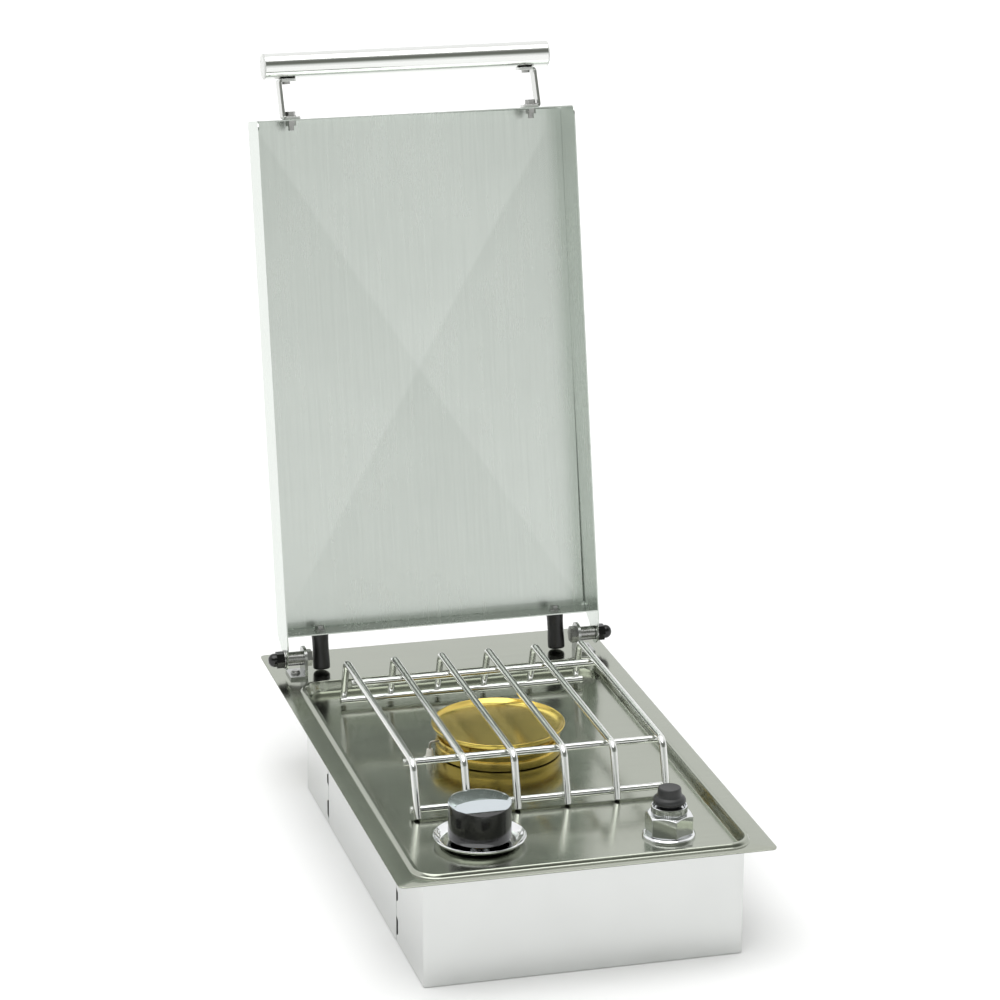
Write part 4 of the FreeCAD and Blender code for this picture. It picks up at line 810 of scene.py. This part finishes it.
tube_deep, tube_high, tube_out, tube_half = 19.0 * mm, 516.7 * mm, 11.2 * mm, 127.0 * mm
tube_plate = brushed("tube_plate", (0.78, 0.79, 0.77), "X", 0.12, streaks=0.03, smudges=0.05, fine=0.00001)
dress(tube_plate, "handle_tube")
plugs = turned([
    (0, -6 * mm), (tube_out - 2.4 * mm, -6 * mm), (tube_out - 1.55 * mm, -5 * mm),
    (tube_out - 1.55 * mm, 0), (tube_out, 0),
    (tube_out, 0.7 * mm), (tube_out - 0.5 * mm, 1.3 * mm), (tube_out - 1.6 * mm, 1.5 * mm), (0, 1.5 * mm),
], steps=64)
set_at(plugs, Matrix.Translation((tube_half, 0, 0)) @ Matrix.Rotation(math.pi / 2, 4, "Y"))
other = bmesh.ops.duplicate(plugs, geom=plugs.verts[:] + plugs.edges[:] + plugs.faces[:])["geom"]
bmesh.ops.rotate(plugs, verts=[g for g in other if isinstance(g, bmesh.types.BMVert)], cent=(0, 0, 0),
                 matrix=Matrix.Rotation(math.pi, 3, "Z"))
plug_gloss = mottled(
    "plug_gloss", (0.62, 0.63, 0.61), 0.22, grain=500.0, mottle=0.04, depth=0.00002, metallic=0.0,
    coat=0.4,
)
piece("handle_plugs", set_at(plugs, lid_place @ Matrix.Translation((0, tube_deep, tube_high))), plug_gloss, "lid",
      ["handle_caps"], edge=0.2 * mm, sides=2)

strap_out, strap_in, strap_wall, strap_half = 116.0 * mm, 100.0 * mm, 2.5 * mm, 7.0 * mm
strap_foot, strap_head, strap_deep = 470.02 * mm, 505.45 * mm, 8.5 * mm
strap_steel = brushed("strap_steel", (0.62, 0.63, 0.61), "Z", 0.24, streaks=0.06, smudges=0.08)
for side, node in ((-1, "handle_strap_left"), (1, "handle_strap_right")):
    strap = bmesh.new()
    ends = [strap.verts.new((strap_in, strap_deep + lean, strap_foot)) for lean in (-strap_half, strap_half)]
    reach = [strap.edges.new(ends)]
    for step in (
        (strap_out - strap_in, 0, 0), (0, tube_deep - strap_deep, strap_head - strap_foot),
        (strap_in - strap_out, 0, 0),
    ):
        drawn = bmesh.ops.extrude_edge_only(strap, edges=reach)["geom"]
        bmesh.ops.translate(strap, verts=[g for g in drawn if isinstance(g, bmesh.types.BMVert)], vec=step)
        reach = [g for g in drawn if isinstance(g, bmesh.types.BMEdge) and len(g.link_faces) == 1
                 and abs(g.verts[0].co.y - g.verts[1].co.y) > strap_half]
    tips = [v for v in strap.verts if v.co.x < strap_in + mm]
    bmesh.ops.bevel(strap, geom=tips, offset=3 * mm, affect="VERTICES", segments=4, profile=0.5, material=-1)
    bends = [e for e in strap.edges if len(e.link_faces) == 2 and e.calc_face_angle() > 1.0]
    bmesh.ops.bevel(strap, geom=bends, offset=3.2 * mm, affect="EDGES", segments=4, profile=0.5, material=-1)
    bmesh.ops.scale(strap, verts=strap.verts, vec=(side, 1, 1))
    bmesh.ops.recalc_face_normals(strap, faces=strap.faces)
    outermost = max(strap.faces, key=lambda f: f.calc_center_median().x * side)
    if outermost.normal.x * side < 0:
        bmesh.ops.reverse_faces(strap, faces=strap.faces)
    piece(
        node + "_bent", set_at(strap, lid_place), strap_steel, "lid", [node],
        wall=strap_wall, edge=0.3 * mm,
    )


# ---------------------------------------------------------------- lid stops
# Moulded black rubber bumpers screwed under the lid's rear flange. They are slightly waisted, and
# stand on the pan's flange when the lid is open.

stop_rubber = mottled(
    "stop_rubber", (0.02, 0.02, 0.02), 0.36, grain=1200.0, mottle=0.10, depth=0.00005, metallic=0.0,
)
stop_foot, stop_top, stop_out = -12.4 * mm, 20.95 * mm, 7.5 * mm
for side, node in ((-1, "bumper_left"), (1, "bumper_right")):
    stop = turned([
        (0, stop_foot), (stop_out - 1.6 * mm, stop_foot),
        (stop_out - 0.5 * mm, stop_foot + 0.5 * mm), (stop_out, stop_foot + 1.6 * mm),
        (stop_out, stop_foot + 8 * mm), (stop_out - 0.35 * mm, 4 * mm),
        (stop_out - 0.3 * mm, 12 * mm), (stop_out, stop_top - 3 * mm),
        (stop_out, stop_top - 1 * mm), (stop_out - 0.8 * mm, stop_top), (2.05 * mm, stop_top),
        (2.05 * mm, 8.5 * mm), (0, 8.5 * mm),
    ], steps=48)
    seat = lid_place @ Matrix.Translation((side * 107.5 * mm, 8.5 * mm, 0))
    piece(
        node + "_moulded", set_at(stop, seat), stop_rubber, "lid", [node],
        edge=0.2 * mm, sides=2,
    )
